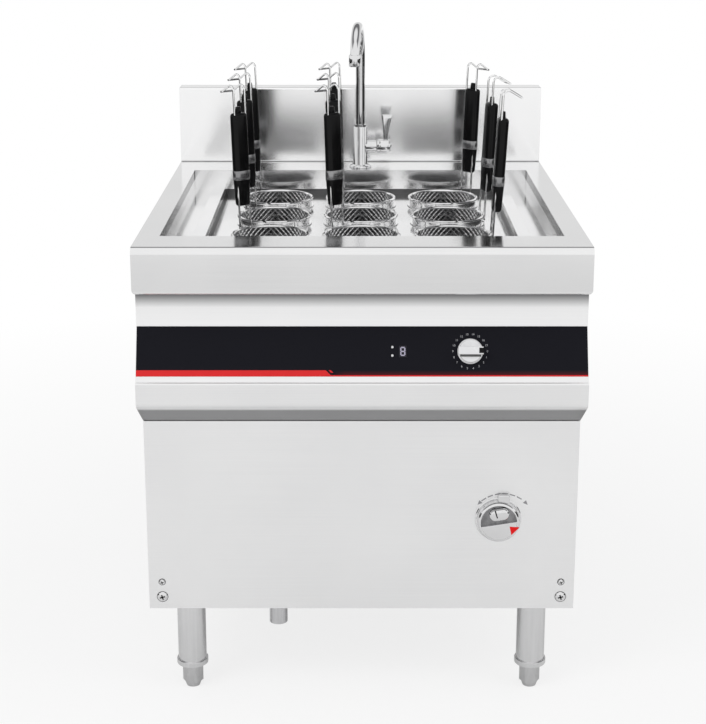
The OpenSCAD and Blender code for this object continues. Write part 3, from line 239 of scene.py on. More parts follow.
def upper_walls(tree, place):
    """The upper strip of the tray's two side walls, darkened as painted shade and painted reflection."""
    wall = maths(tree, "GREATER_THAN", maths(tree, "ABSOLUTE", place["X"]), gutter_wall)
    strip = ramp(tree, place["Z"], wall_strip - strip_fade, wall_strip + strip_fade, 0, 0.9)
    return maths(tree, "MULTIPLY", wall, strip)


def well_steel(name):
    return steel(name, (0.8, 0.8, 0.805), (0.92, 0.92, 0.92),
                 roughness=0.12, stretch=along_x, spread=0.06)


# The dark upper strip on the tray's side walls is painted shade and painted reflection.
softened("gutter_tray", dulled(well_steel("gutter_sheet"), upper_walls, (0.03, 0.03, 0.032)))
softened("basket_plate", well_steel("plate_sheet"))
# The tank's steel is coloured nearly black as painted shade for its deep inside.
softened("tank", steel("tank_painted_shade", (0.08, 0.08, 0.082), (0.16, 0.16, 0.162),
                       roughness=0.3, stretch=along_x))

# Baskets: a cup of woven stainless wire with a rolled mouth ring, a band of sheet below it and a seat ring
# that rests on the plate. Two handle wires rise from the mouth through a grip and end in a hook.
mouth_r, mouth_wire, net_wire = 71 * mm, 6 * mm, 2 * mm
cup_r, cup_depth, cup_round = 68.4 * mm, 165 * mm, 60 * mm
cup_straight = cup_depth - cup_round


def joined(*shapes):
    """Gathers several shapes into the first."""
    carrier = bpy.data.meshes.new("carrier")
    for extra in shapes[1:]:
        extra.to_mesh(carrier)
        shapes[0].from_mesh(carrier)
        extra.free()
    bpy.data.meshes.remove(carrier)
    return shapes[0]


def placed(shape, matrix):
    bmesh.ops.transform(shape, matrix=matrix, verts=shape.verts)
    return shape


def spun(shape, section, steps):
    """Spins the section of a shape once round the Z axis."""
    bmesh.ops.spin(shape, geom=section, cent=(0, 0, 0), axis=(0, 0, 1), dvec=(0, 0, 0),
                   angle=2 * math.pi, steps=steps, use_merge=True, use_duplicate=False)
    return shape


def lathed(profile, steps):
    """The skin that a profile of radius and height leaves when it is spun."""
    shape = bmesh.new()
    points = [shape.verts.new((r, 0, z)) for r, z in profile]
    lines = [shape.edges.new(pair) for pair in zip(points, points[1:])]
    return spun(shape, points + lines, steps)


def turned(profile, steps=48):
    """A piece turned to a profile of radius and height, with its seam and poles closed."""
    shape = lathed(profile, steps)
    bmesh.ops.remove_doubles(shape, verts=shape.verts, dist=0.001 * mm)
    bmesh.ops.recalc_face_normals(shape, faces=shape.faces)
    return shape


def hoop(inner, outer, low, high):
    """A turned ring of square section."""
    return turned([(inner, low), (outer, low), (outer, high), (inner, high), (inner, low)], steps=64)


def points_of(geom):
    return [g for g in geom if isinstance(g, bmesh.types.BMVert)]


def edges_among(points):
    """The edges that join a group of points to each other."""
    chosen = set(points)
    near = dict.fromkeys(e for p in points for e in p.link_edges)
    return [e for e in near if set(e.verts) <= chosen]


def ring(radius, thick, height, steps=64, sides=10):
    """A closed ring of round wire about the Z axis."""
    shape = bmesh.new()
    section = Matrix.Translation((radius, 0, height)) @ Matrix.Rotation(math.pi / 2, 4, "X")
    points = bmesh.ops.create_circle(shape, segments=sides, radius=thick / 2, matrix=section)["verts"]
    spun(shape, points + edges_among(points), steps)
    bmesh.ops.recalc_face_normals(shape, faces=shape.faces)
    return shape


def swept(start, heading, axis, moves, thick, sides=10, bend_step=0.16):
    """Round wire or tube: each move is a straight length, or the radius and angle of a bend."""
    shape = bmesh.new()
    place, heading, axis = Vector(start), Vector(heading).normalized(), Vector(axis)
    section = Matrix.Translation(place) @ heading.to_track_quat("Z", "Y").to_matrix().to_4x4()
    points = bmesh.ops.create_circle(shape, segments=sides, radius=thick / 2, matrix=section)["verts"]
    bmesh.ops.edgeloop_fill(shape, edges=edges_among(points))
    for move in moves:
        if isinstance(move, tuple):
            radius, angle = move
            centre = place + axis.cross(heading) * math.copysign(radius, angle)
            turn = Matrix.Rotation(angle, 3, axis)
            steps = max(4, round(abs(angle) / bend_step))
            last = bmesh.ops.spin(shape, geom=points + edges_among(points), cent=centre, axis=axis,
                                  dvec=(0, 0, 0), angle=angle, steps=steps, use_duplicate=False)
            points = points_of(last["geom_last"])
            place, heading = centre + turn @ (place - centre), turn @ heading
        else:
            last = bmesh.ops.extrude_edge_only(shape, edges=edges_among(points))
            points = points_of(last["geom"])
            bmesh.ops.translate(shape, verts=points, vec=heading * move)
            place = place + heading * move
    bmesh.ops.edgeloop_fill(shape, edges=edges_among(points))
    bmesh.ops.recalc_face_normals(shape, faces=shape.faces)
    return shape


def woven(shape):
    """Turns every edge of a skin into a wire."""
    bmesh.ops.wireframe(shape, faces=shape.faces, thickness=net_wire, use_replace=True,
                        use_boundary=True, use_even_offset=True)
    return shape


def net_wall(strands=40, cell=10.5 * mm, low_r=32 * mm):
    """The cup's wall as slanting crossed wires, from below the mouth round the bottom's shoulder."""
    rows = round(cup_straight / cell)
    profile = [(cup_r, -cup_straight * i / rows) for i in range(rows)]
    angle = 0
    while cup_r * math.cos(angle) > low_r:
        profile.append((cup_r * math.cos(angle), -cup_straight - cup_round * math.sin(angle)))
        angle += cell / math.hypot(cup_r * math.sin(angle), cup_round * math.cos(angle))
    shape = lathed(profile, strands)
    upright = [e for e in shape.edges if e.is_manifold]
    bmesh.ops.poke(shape, faces=shape.faces, offset=0)
    bmesh.ops.dissolve_edges(shape, edges=upright, use_verts=False)
    return woven(shape), profile[-1]


def net_floor(rim_r, cell=9 * mm):
    """The cup's bottom as a square net, trimmed round and pressed down to the cup's curve."""
    shape = bmesh.new()
    count = math.ceil(2 * rim_r / cell)
    bmesh.ops.create_grid(shape, x_segments=count, y_segments=count, size=rim_r)
    outside = [v for v in shape.verts if v.co.xy.length > rim_r]
    bmesh.ops.delete(shape, geom=outside, context="VERTS")
    for vert in shape.verts:
        share = min(1, vert.co.xy.length / cup_r)
        vert.co.z = -cup_straight - cup_round * math.sqrt(1 - share * share)
    return woven(shape)


def basket_cup():
    """Wall and bottom, and the ring that they are tied to."""
    wall, (rim_r, rim_z) = net_wall()
    return joined(wall, net_floor(rim_r), ring(rim_r, net_wire, rim_z, steps=48, sides=6))


seat_r, seat_z, seat_t, band_top = 74.8 * mm, -15.7 * mm, 1.5 * mm, -1 * mm
handle_wire, handle_gap, handle_lean = 4 * mm, 26 * mm, math.radians(3)
handle_r, handle_drop = 74.4 * mm, 11 * mm
hook_z, hook_bend, hook_slope, hook_arm = 264 * mm, 10 * mm, math.radians(28), 24 * mm
handle_place = Matrix.Translation((handle_r, 0, 0)) @ Matrix.Rotation(handle_lean, 4, "Y")


def basket_wires():
    """Mouth ring, band, seat ring and the two handle wires with their cross wires."""
    band = hoop(cup_r + 0.5 * mm, cup_r + 1.1 * mm, seat_z, band_top)
    seat = hoop(cup_r, seat_r, seat_z, seat_z + seat_t)
    rise = (handle_drop + hook_z, (hook_bend, math.pi / 2 + hook_slope), hook_arm)
    wires = [swept((0, side * handle_gap / 2, -handle_drop), (0, 0, 1), (0, 1, 0), rise, handle_wire)
             for side in (-1, 1)]
    arm = Vector((math.cos(hook_slope), 0, -math.sin(hook_slope)))
    bend_end = Vector((hook_bend * (1 + math.sin(hook_slope)), 0,
                       hook_z + hook_bend * math.cos(hook_slope)))
    for place in (Vector((0, 0, -handle_drop)), bend_end + arm * hook_arm):
        start = place - Vector((0, handle_gap / 2 + handle_wire / 2, 0))
        wires.append(swept(start, (0, 1, 0), (0, 0, 1), [handle_gap + handle_wire], handle_wire))
    handle = placed(joined(*wires), handle_place)
    return joined(ring(mouth_r, mouth_wire, 0), band, seat, handle)


grip_start, grip_len, grip_w, grip_t, grip_shift = 44 * mm, 178 * mm, 35 * mm, 20 * mm, 5 * mm
grip_end, grip_taper, tip_taper = grip_start + grip_len, 0.86, 0.75
tongue_w, tongue_t, tongue_len, tongue_root = 13 * mm, 9 * mm, 15 * mm, 3 * mm
ferrule_z, ferrule_len, ferrule_wall = grip_start + 50 * mm, 18 * mm, 0.6 * mm


def parted(shape, way, reach):
    """Draws a round shape out into an oval one: its two halves move apart."""
    way = Vector(way)
    for side in (-1, 1):
        half = [v for v in shape.verts if v.co.dot(way) * side > 0.001 * mm]
        bmesh.ops.translate(shape, verts=half, vec=way * side * reach / 2)
    return shape


def raised(shape, height):
    """Extrudes the faces of a flat shape upward."""
    top = bmesh.ops.extrude_face_region(shape, geom=list(shape.faces))["geom"]
    bmesh.ops.translate(shape, verts=points_of(top), vec=(0, 0, height))
    bmesh.ops.recalc_face_normals(shape, faces=shape.faces)
    return shape


def cut(shape, place, across, clear=False):
    """Cuts a shape along a plane, and may clear away what lies beyond it."""
    bmesh.ops.bisect_plane(shape, geom=list(shape.verts) + list(shape.edges) + list(shape.faces),
                           plane_co=place, plane_no=across, clear_outer=clear)
    return shape


def oval(width, thick, height, length, sides=32):
    """A bar of oval section, long in Y, standing on a height."""
    shape = bmesh.new()
    bmesh.ops.create_circle(shape, cap_ends=True, segments=sides, radius=thick / 2)
    parted(shape, (0, 1, 0), width - thick)
    bmesh.ops.translate(shape, verts=shape.verts, vec=(grip_shift, 0, height))
    return raised(shape, length)


def tapered(shape, points, share):
    bmesh.ops.scale(shape, vec=(share, share, 1), verts=points,
                    space=Matrix.Translation((-grip_shift, 0, 0)))


def basket_grip():
    """Moulded grip closed over the wires, tapered below the ferrule, with a tapered tongue on top."""
    body = eased(oval(grip_w, grip_t, grip_start, grip_len), 6 * mm, segments=5, sharper=60)
    cut(body, (0, 0, ferrule_z), (0, 0, 1))
    tapered(body, [v for v in body.verts if v.co.z < ferrule_z - 1 * mm], grip_taper)
    tongue = oval(tongue_w, tongue_t, grip_end - tongue_root, tongue_len, sides=24)
    tapered(tongue, [v for v in tongue.verts if v.co.z > grip_end], tip_taper)
    eased(tongue, 1.5 * mm, segments=3, sharper=40)
    return placed(joined(body, tongue), handle_place)


def basket_ferrule():
    """A sleeve of sheet pressed round the grip."""
    sleeve = oval(grip_w + 2 * ferrule_wall, grip_t + 2 * ferrule_wall, ferrule_z, ferrule_len)
    return placed(eased(sleeve, 0.4 * mm, sharper=60), handle_place)


def moulded(name, colour, roughness, scale, bump, shine=0.5):
    """Moulded plastic with a fine spark-eroded texture and slight changes of gloss."""
    material = started(name, {"Specular IOR Level": shine})
    tree = material.node_tree
    place = spot(tree)
    broad = noise(tree, place, scale=30, detail=3)
    lighter = tuple(min(1, c * 1.15 + 0.004) for c in colour)
    feed(tree, {"Base Color": tinted(tree, broad, (*colour, 1), (*lighter, 1)),
                "Roughness": ramp(tree, broad, 0.3, 0.7, roughness - 0.06, roughness + 0.06),
                "Normal": bumped(tree, noise(tree, place, scale=scale, detail=2), bump, 0.1 * mm)})
    return material


wire_steel = steel("drawn_wire", (0.8, 0.8, 0.805), (0.92, 0.92, 0.92),
                   roughness=0.1, stretch=(60, 60, 60), spread=0.06)
net_steel = steel("woven_wire", (0.45, 0.45, 0.455), (0.66, 0.66, 0.665),
                  roughness=0.2, stretch=(90, 90, 90))
ferrule_steel = steel("ferrule_sheet", (0.22, 0.22, 0.225), (0.36, 0.36, 0.365),
                      roughness=0.25, stretch=(20, 20, 600), spread=0.08)
grip_plastic = moulded("grip_moulding", (0.003, 0.003, 0.0033),
                       roughness=0.17, scale=2500, bump=0.05, shine=0.12)
basket_z, column_pitch, row_pitch, row_mid = 862 * mm, 173 * mm, 177 * mm, 2 * mm
handle_turns = {"front": (132, 128, 4), "middle": (132, 128, 18), "back": (132, 128, 45)}
for r, (row, turns) in enumerate(handle_turns.items()):
    for c, column in enumerate(("left", "centre", "right")):
        key = f"{row}_{column}"
        centre = ((c - 1) * column_pitch, row_mid + (r - 1) * row_pitch, basket_z)
        stand = Matrix.Translation(centre) @ Matrix.Rotation(math.radians(turns[c]), 4, "Z")
        for shape, name, slot, material, nodes in (
                (basket_cup(), "net", "wire_steel", net_steel, ()),
                (basket_wires(), "wirework", "wire_steel", wire_steel, [f"basket_{key}"]),
                (basket_ferrule(), "ferrule", "wire_steel", ferrule_steel, ()),
                (basket_grip(), "moulding", "grip_plastic", grip_plastic, [f"grip_{key}"])):
            finished(placed(shape, stand), f"{name}_{key}", f"{key}_basket", material, nodes)

# Tap: chromed brass. The body stands on the deck on a round flange, a barrel on its right holds the lever's
# cartridge, and the bent spout turns in a socket at the top and ends in a knurled nozzle.
tap_y, deck_z, body_top, lever_z = 330 * mm, 900 * mm, 990 * mm, 946 * mm
flange_r, stem_r, socket_r, socket_z = 24 * mm, 16 * mm, 10.4 * mm, body_top - 6 * mm
barrel_r, barrel_len = 12.5 * mm, 36 * mm
shank_r, shank_len, nut_r, nut_h = 10.5 * mm, 60 * mm, 19.6 * mm, 9 * mm
tap_place = Matrix.Translation((0, tap_y, 0))
sideways = Matrix.Rotation(math.pi / 2, 4, "Y")


def chrome(name):
    """Bright plating with faint wipe marks."""
    material = started(name, {"Metallic": 1})
    tree = material.node_tree
    wipes = noise(tree, spot(tree), scale=22, detail=4, Distortion=0.6)
    feed(tree, {"Base Color": tinted(tree, wipes, (0.7, 0.7, 0.705, 1), (0.8, 0.8, 0.805, 1)),
                "Roughness": ramp(tree, wipes, 0.35, 0.75, 0.02, 0.07)})
    return material


plated = chrome("bright_plating")


def rod(radius, low, high, steps=48):
    """A plain turned bar along the Z axis."""
    return turned([(0, low), (radius, low), (radius, high), (0, high)], steps)


def tap_body():
    """Stem on its flange with the spout's socket, side barrel, and the shank and nut under the deck."""
    stem = turned([(0, deck_z), (flange_r, deck_z), (flange_r, deck_z + 2.5 * mm),
                   (21 * mm, deck_z + 5 * mm), (stem_r, deck_z + 6.5 * mm), (stem_r, body_top),
                   (socket_r, body_top), (socket_r, socket_z), (0, socket_z)])
    barrel = placed(rod(barrel_r, 0, barrel_len), Matrix.Translation((0, 0, lever_z)) @ sideways)
    shank = rod(shank_r, deck_z - shank_len, deck_z, steps=32)
    nut = bmesh.new()
    bmesh.ops.create_cone(nut, cap_ends=True, segments=6, radius1=nut_r, radius2=nut_r, depth=nut_h,
                          matrix=Matrix.Translation((0, 0, deck_z - 6 * mm)))
    eased(nut, 0.8 * mm)
    return placed(joined(eased(stem, 0.8 * mm), eased(barrel, 1 * mm), shank, nut), tap_place)


finished(tap_body(), "tap_stem", "cabinet", plated, ["tap_body"])
cap_r, cap_len, cap_gap = 15.5 * mm, 32 * mm, 0.3 * mm
paddle_w, paddle_t, paddle_low, paddle_top, paddle_x = 10 * mm, 7 * mm, 7.5 * mm, 69.5 * mm, 55.5 * mm
flare_z, flare, lean_out, thinning = 15 * mm, 1.5, 3 * mm, 0.4


def block(width, depth, height):
    """A block centred on the origin."""
    shape = bmesh.new()
    bmesh.ops.create_cube(shape, size=1)
    bmesh.ops.scale(shape, vec=(width, depth, height), verts=shape.verts)
    return shape


def tap_lever():
    """Turning cap with a rounded end, and a paddle that flares and thins towards its tip."""
    cap = turned([(0, 0), (cap_r, 0), (cap_r, 20 * mm), (15 * mm, 25 * mm), (13.2 * mm, 29 * mm),
                  (9.5 * mm, 31.6 * mm), (0, cap_len)])
    eased(cap, 0.8 * mm, sharper=50)
    placed(cap, Matrix.Translation((barrel_len + cap_gap, 0, 0)) @ sideways)
    paddle = block(paddle_w, paddle_t, paddle_top - paddle_low)
    placed(paddle, Matrix.Translation((0, 0, (paddle_low + paddle_top) / 2)))
    upright = [e for e in paddle.edges if abs(e.verts[0].co.z - e.verts[1].co.z) > mm]
    bmesh.ops.subdivide_edges(paddle, edges=upright, cuts=6, use_grid_fill=True)
    for vert in paddle.verts:
        rise = max(0, (vert.co.z - flare_z) / (paddle_top - flare_z))
        vert.co.x = vert.co.x * (1 + flare * rise ** 1.6) + lean_out * rise ** 2
        vert.co.y = vert.co.y * (1 - thinning * rise)
    eased(paddle, 1.6 * mm, segments=3, sharper=40)
    placed(paddle, Matrix.Translation((paddle_x, 0, 0)))
    return placed(joined(cap, paddle), Matrix.Translation((0, tap_y, lever_z)))


finished(tap_lever(), "tap_paddle", "tap_handle", plated, ["tap_lever"])
bend_r, bend_z, spout_d, spout_swing = 70 * mm, 1141 * mm, 20 * mm, math.radians(-5)
spout_foot, seat_low, nozzle_drop = body_top - 5 * mm, body_top + 0.3 * mm, 5 * mm


def tap_spout():
    """Bent tube, a turned seat at its foot, and the nozzle over its end."""
    rise = (bend_z - spout_foot, (bend_r, math.pi))
    tube = swept((0, 0, spout_foot), (0, 0, 1), (1, 0, 0), rise, spout_d, sides=32)
    seat = turned([(spout_d / 2, seat_low), (13 * mm, seat_low), (13 * mm, body_top + 4 * mm),
                   (10.2 * mm, body_top + 5.3 * mm)])
    nozzle = turned([(0, 4 * mm), (8 * mm, 4 * mm), (8.2 * mm, 0), (11.8 * mm, 0), (12.5 * mm, 1 * mm),
                     (12.5 * mm, 22 * mm), (11.6 * mm, 24 * mm), (9.8 * mm, 24.2 * mm)])
    placed(nozzle, Matrix.Translation((0, -2 * bend_r, bend_z - nozzle_drop)))
    return placed(joined(tube, seat, nozzle), tap_place @ Matrix.Rotation(spout_swing, 4, "Z"))


finished(tap_spout(), "tap_gooseneck", "spout", plated, ["tap_spout"],
         crease=40)

# Console: a folded satin shell with a slanted face and a rounded nose. A printed black film covers the
# face, and the knob, the lamps and the digit window come through it.
nose_low, fascia_top = 600 * mm, 808 * mm


def inner_folds(tree, place):
    """The shell under its nose and close below the apron, darkened as painted shade and painted reflection.
    """
    nose = ramp(tree, place["Z"], nose_low - 3 * mm, nose_low + 3 * mm, 0.14, 1)
    fascia = ramp(tree, place["Z"], fascia_top - 26 * mm, fascia_top - 3 * mm, 1, 0.08)
    return maths(tree, "SUBTRACT", 1, maths(tree, "MULTIPLY", nose, fascia))


console_steel = steel("console_sheet", (0.84, 0.84, 0.845), (0.9, 0.9, 0.9),
                      roughness=0.3, stretch=along_x, spread=0.06, bump=0.01)
# The nose's underside and the strip below the apron are darkened as painted shade and painted reflection.
softened("console_shell", dulled(console_steel, inner_folds, (0.12, 0.12, 0.125)))
face_tilt = math.atan2(84, 35)
face = Matrix.Translation((0, -422.5 * mm, 706 * mm)) @ Matrix.Rotation(face_tilt, 4, "X")
film_t, film_half, glow_h, glow_left, glow_full = 1.2 * mm, 44.5 * mm, 11 * mm, -50 * mm, -30 * mm


def printed_film():
    """Semi-gloss black film, with the print's red glow fading up from the line along its lower edge."""
    material = started("black_film", {"Specular IOR Level": 0.06})
    tree = material.node_tree
    place = spot(tree)
    local = put(tree, "ShaderNodeMapping", {"Vector": place, "Location": face.translation,
                                            "Rotation": (face_tilt, 0, 0)}, vector_type="TEXTURE")
    axes = axes_of(tree, local.outputs[0])
    fade = ramp(tree, axes["Y"], -film_half, glow_h - film_half, 1, 0)
    right = ramp(tree, axes["X"], glow_left, glow_full, 0, 0.9)
    speck = noise(tree, place, scale=900, detail=2)
    black = tinted(tree, speck, (0.006, 0.006, 0.009, 1), (0.010, 0.010, 0.014, 1))
    ink = tinted(tree, maths(tree, "MULTIPLY", fade, right), black, (0.09, 0.012, 0.016, 1))
    feed(tree, {"Base Color": ink, "Roughness": ramp(tree, speck, 0, 1, 0.3, 0.4)})
    return material


red_print = moulded("red_print", (0.6, 0.022, 0.024), roughness=0.4, scale=1800, bump=0.05, shine=0.12)
tinted_lens = moulded("tinted_lens", (0.022, 0.021, 0.027),
                      roughness=0.15, scale=1200, bump=0.02, shine=0.12)
softened("control_overlay", printed_film(), 0.2 * mm)
softened("overlay_stripe", red_print, 0.05 * mm)
softened("display_lenses", tinted_lens, 0.2 * mm)

# Marks on the film. Eighteen plain numerals in pale print stand round the level knob at equal steps, the
# digit window holds seven bars in pale violet, painted light for a lit digit, and two small lamps lie left
# of it.
knob_x, mark_r, mark_count, mark_size = 191 * mm, 30.5 * mm, 18, 5.2 * mm


def numeral(text, size):
    """A flat numeral, centred, as a mesh shape."""
    curve = bpy.data.curves.new("numeral", "FONT")
    curve.body, curve.size = text, size
    curve.align_x, curve.align_y = "CENTER", "CENTER"
    curve.extrude = 0.04 * mm
    holder = bpy.data.objects.new("numeral", curve)
    bpy.context.scene.collection.objects.link(holder)
    mesh = bpy.data.meshes.new_from_object(holder.evaluated_get(bpy.context.evaluated_depsgraph_get()))
    shape = bmesh.new()
    shape.from_mesh(mesh)
    bpy.data.objects.remove(holder)
    bpy.data.curves.remove(curve)
    bpy.data.meshes.remove(mesh)
    return shape


def dial_marks():
    marks = []
    for i in range(mark_count):
        angle = -2 * math.pi * i / mark_count
        place = (knob_x + mark_r * math.cos(angle), mark_r * math.sin(angle), film_t + 0.06 * mm)
        marks.append(placed(numeral(str(i), mark_size), face @ Matrix.Translation(place)))
    return joined(*marks)


finished(dial_marks(), "dial_numerals", "cabinet",
         moulded("pale_print", (0.42, 0.42, 0.44), roughness=0.5, scale=1500, bump=0.03))
window = face @ Matrix.Translation((72 * mm, 0, film_t + 0.1 * mm))
digit_w, digit_h, stroke, stroke_t = 7 * mm, 14 * mm, 2.1 * mm, 0.3 * mm
lamp_x, lamp_y = -18.5 * mm, 7.5 * mm


def bar(width, depth, height, radius, segments=2):
    """A block with its edges rounded."""
    return eased(block(width, depth, height), radius, segments)


def digit_bars():
    """Three level bars and four upright ones."""
    bars = []
    for y in (-digit_h / 2, 0, digit_h / 2):
        level = bar(digit_w - stroke / 2, stroke, stroke_t, 0.1 * mm)
        bars.append(placed(level, window @ Matrix.Translation((0, y, 0))))
    for x in (-digit_w / 2, digit_w / 2):
        for y in (-digit_h / 4, digit_h / 4):
            upright = bar(stroke, digit_h / 2 - stroke / 2, stroke_t, 0.1 * mm)
            bars.append(placed(upright, window @ Matrix.Translation((x, y, 0))))
    return joined(*bars)


# The bars' pale violet is painted light for a lit digit.
finished(digit_bars(), "digit_bars", "cabinet",
         moulded("lit_bars", (0.4, 0.38, 0.48), roughness=0.4, scale=1500, bump=0.02, shine=0.1))


def lamp_caps():
    """A low dome over each lamp."""
    caps = []
    for y in (-lamp_y, lamp_y):
        cap = turned([(0, 0), (2.2 * mm, 0), (2.1 * mm, 0.5 * mm), (1.5 * mm, 0.9 * mm), (0, 1.1 * mm)],
                     steps=20)
        caps.append(placed(cap, window @ Matrix.Translation((lamp_x, y, film_t))))
    return joined(*caps)


finished(lamp_caps(), "lamp_caps", "cabinet",
         moulded("lamp_lens", (0.62, 0.62, 0.63), roughness=0.3, scale=900, bump=0.02, shine=0.3))

# Level knob: silver-white moulding pushed on the encoder's shaft, with a grip bar across its face, a dark
# strip beside the bar as its painted shadow and a black pointer let into the bar's end. It lies a hair
# above the film.
knob_r, knob_h, knob_z = 22.5 * mm, 19 * mm, film_t + 0.3 * mm
grip_bar_w, grip_bar_h, bar_shadow_w = 13.6 * mm, 10 * mm, 3.6 * mm
knob_place = face @ Matrix.Translation((knob_x, 0, knob_z))


def level_knob():
    """A stepped skirt with a shallow dished face, and the grip bar."""
    skirt = turned([(0, 0), (knob_r, 0), (knob_r, 3 * mm), (knob_r - 1.2 * mm, 4.2 * mm),
                    (knob_r - 2 * mm, 4.6 * mm), (knob_r - 2.6 * mm, 11 * mm),
                    (knob_r - 4 * mm, 11.4 * mm), (0, 10.6 * mm)], steps=64)
    grip = bar(2 * knob_r - 1 * mm, grip_bar_w, grip_bar_h, 1.1 * mm, segments=3)
    placed(grip, Matrix.Translation((0.5 * mm, 0, knob_h - grip_bar_h / 2)))
    return placed(joined(eased(skirt, 0.4 * mm), grip), knob_place)


finished(level_knob(), "dial_moulding", "level_dial",
         moulded("knob_moulding", (0.68, 0.68, 0.69),
                 roughness=0.28, scale=900, bump=0.04), ["level_knob"])
pointer = bar(8 * mm, 9.4 * mm, 1 * mm, 0.3 * mm)
placed(pointer, knob_place @ Matrix.Translation((knob_r - 3.8 * mm, 0, knob_h)))
finished(pointer, "dial_pointer", "level_dial", grip_plastic)
# A dark strip beside the grip bar: the bar's painted shadow.
bar_shadow = bar(2 * knob_r - 8 * mm, bar_shadow_w, 1.6 * mm, 0.3 * mm)
placed(bar_shadow, knob_place @ Matrix.Translation((0, -(grip_bar_w + bar_shadow_w) / 2, 11 * mm)))
finished(bar_shadow, "dial_bar_shadow", "level_dial",
         moulded("painted_bar_shadow", (0.1, 0.1, 0.1), roughness=0.5, scale=900, bump=0.03))

# Cabinet sheets: satin stainless. The front panel hangs below the console, the sides and the louvred back
# close the frame, and the base pan lies between them.


def satin_steel(name, stretch):
    return steel(name, (0.85, 0.85, 0.855), (0.91, 0.91, 0.91),
                 roughness=0.35, stretch=stretch, spread=0.06, bump=0.01)


for material, nodes in (
        (satin_steel("satin_sheet", along_x), ("front_panel", "rear_panel", "base_pan")),
        (satin_steel("satin_side_sheet", along_y), ("side_panel_left", "side_panel_right"))):
    for node in nodes:
        softened(node, material)

# Panel screws: chromed domes on plain shanks, a large and a small one near each lower corner of the front
# panel. A dark cross on each dome is painted shade for its cross recess, and a dark ring under it is its
# painted contact shadow.
panel_y, screw_x, screw_rows = -360 * mm, 375 * mm, ((204 * mm, 10 * mm), (234 * mm, 6 * mm))
shank_half, shank_in, dome_h, cross_turn = 3 * mm, -5 * mm, 4 * mm, 0.3


def on_panel(x, z):
    """A place on the front panel, with its Z axis pointing out of the panel."""
    return Matrix.Translation((x, panel_y, z)) @ Matrix.Rotation(math.pi / 2, 4, "X")


screws = [(r, on_panel(x, z)) for x in (-screw_x, screw_x) for z, r in screw_rows]


def panel_screws():
    heads = []
    for r, stand in screws:
        dome = turned([(0, shank_in), (shank_half, shank_in), (shank_half, 0), (r, 0), (r, 0.6 * mm),
                       (0.93 * r, 1.5 * mm), (0.75 * r, 2.8 * mm), (0.45 * r, 3.7 * mm), (0, dome_h)],
                      steps=32)
        heads.append(placed(dome, stand))
    return joined(*heads)


finished(panel_screws(), "screw_domes", "cabinet", plated, ["panel_screws"])


def screw_recesses():
    """A dark cross on each dome as painted shade of its recess, and a dark ring under it as painted contact
    shadow.
    """
    marks = []
    for r, stand in screws:
        middle = stand @ Matrix.Translation((0, 0, dome_h - 0.5 * mm))
        for turn in (cross_turn, cross_turn + math.pi / 2):
            slit = bar(r, 0.26 * r, 1.2 * mm, 0.2 * mm)
            marks.append(placed(slit, middle @ Matrix.Rotation(turn, 4, "Z")))
        marks.append(placed(ring(r + 0.3 * mm, 0.9 * mm, 0.3 * mm, steps=32, sides=8), stand))
    return joined(*marks)


finished(screw_recesses(), "screw_recesses", "cabinet", grip_plastic)

# Drain handle: a chromed round casting on a flat bezel. Its upper half has a finger pocket with an
# oval boss in it, the pocket's floor darkened as painted shade and painted reflection, and a dark bar on
# the boss is painted shade for a notch. Its lower half is flat, and a lever tab stands out at its top. The
# pointer is red.
drain = on_panel(254 * mm, 361 * mm)
bezel_bore, bezel_r, bezel_t = 8.8 * mm, 43 * mm, 2.5 * mm
handle_rim, pocket_r, pocket_drop, pocket_tilt = 40 * mm, 33 * mm, 3.5 * mm, math.radians(9)
handle_low, pocket_z, handle_face = 2.8 * mm, 11.3 * mm, 18.3 * mm
roll_r, roll_h, roll_steps = pocket_r + 0.6 * mm, 9 * mm, 10
boss_w, boss_t, boss_up, boss_top = 38 * mm, 23 * mm, 17.5 * mm, 27 * mm
tab_w, tab_len, tab_t, tab_x = 22 * mm, 51 * mm, 8 * mm, 9 * mm
bezel = turned([(bezel_bore, 0), (bezel_r, 0), (bezel_r, 1.6 * mm), (bezel_r - 1.2 * mm, bezel_t),
                (bezel_bore, bezel_t), (bezel_bore, 0)], steps=64)
finished(placed(bezel, drain), "drain_plate", "cabinet", plated, ["drain_bezel"])


def wedge(points, height, thick):
    """A flat piece of a few corners."""
    shape = bmesh.new()
    shape.faces.new([shape.verts.new((x, y, height)) for x, y in points])
    return raised(shape, thick)


def drain_face():
    """The lower half of the handle's face, cut along the pocket's tilted edge."""
    shape = bmesh.new()
    bmesh.ops.create_circle(shape, cap_ends=True, segments=64, radius=pocket_r + 0.5 * mm,
                            matrix=Matrix.Translation((0, 0, pocket_z)))
    across = Vector((-math.sin(pocket_tilt), math.cos(pocket_tilt), 0))
    cut(shape, -across * pocket_drop, across, clear=True)
    return eased(raised(shape, handle_face - pocket_z), 0.8 * mm, segments=3, sharper=40)


def drain_boss():
    """An oval boss with a crowned top."""
    half = boss_t / 2
    shape = turned([(0, pocket_z), (half, pocket_z), (half, boss_top - 6 * mm),
                    (0.95 * half, boss_top - 3.4 * mm), (0.8 * half, boss_top - 1.4 * mm),
                    (0.55 * half, boss_top - 0.4 * mm), (0, boss_top)])
    parted(shape, (1, 0, 0), boss_w - boss_t)
    return placed(shape, Matrix.Translation((0, boss_up, 0)) @ Matrix.Rotation(pocket_tilt, 4, "Z"))


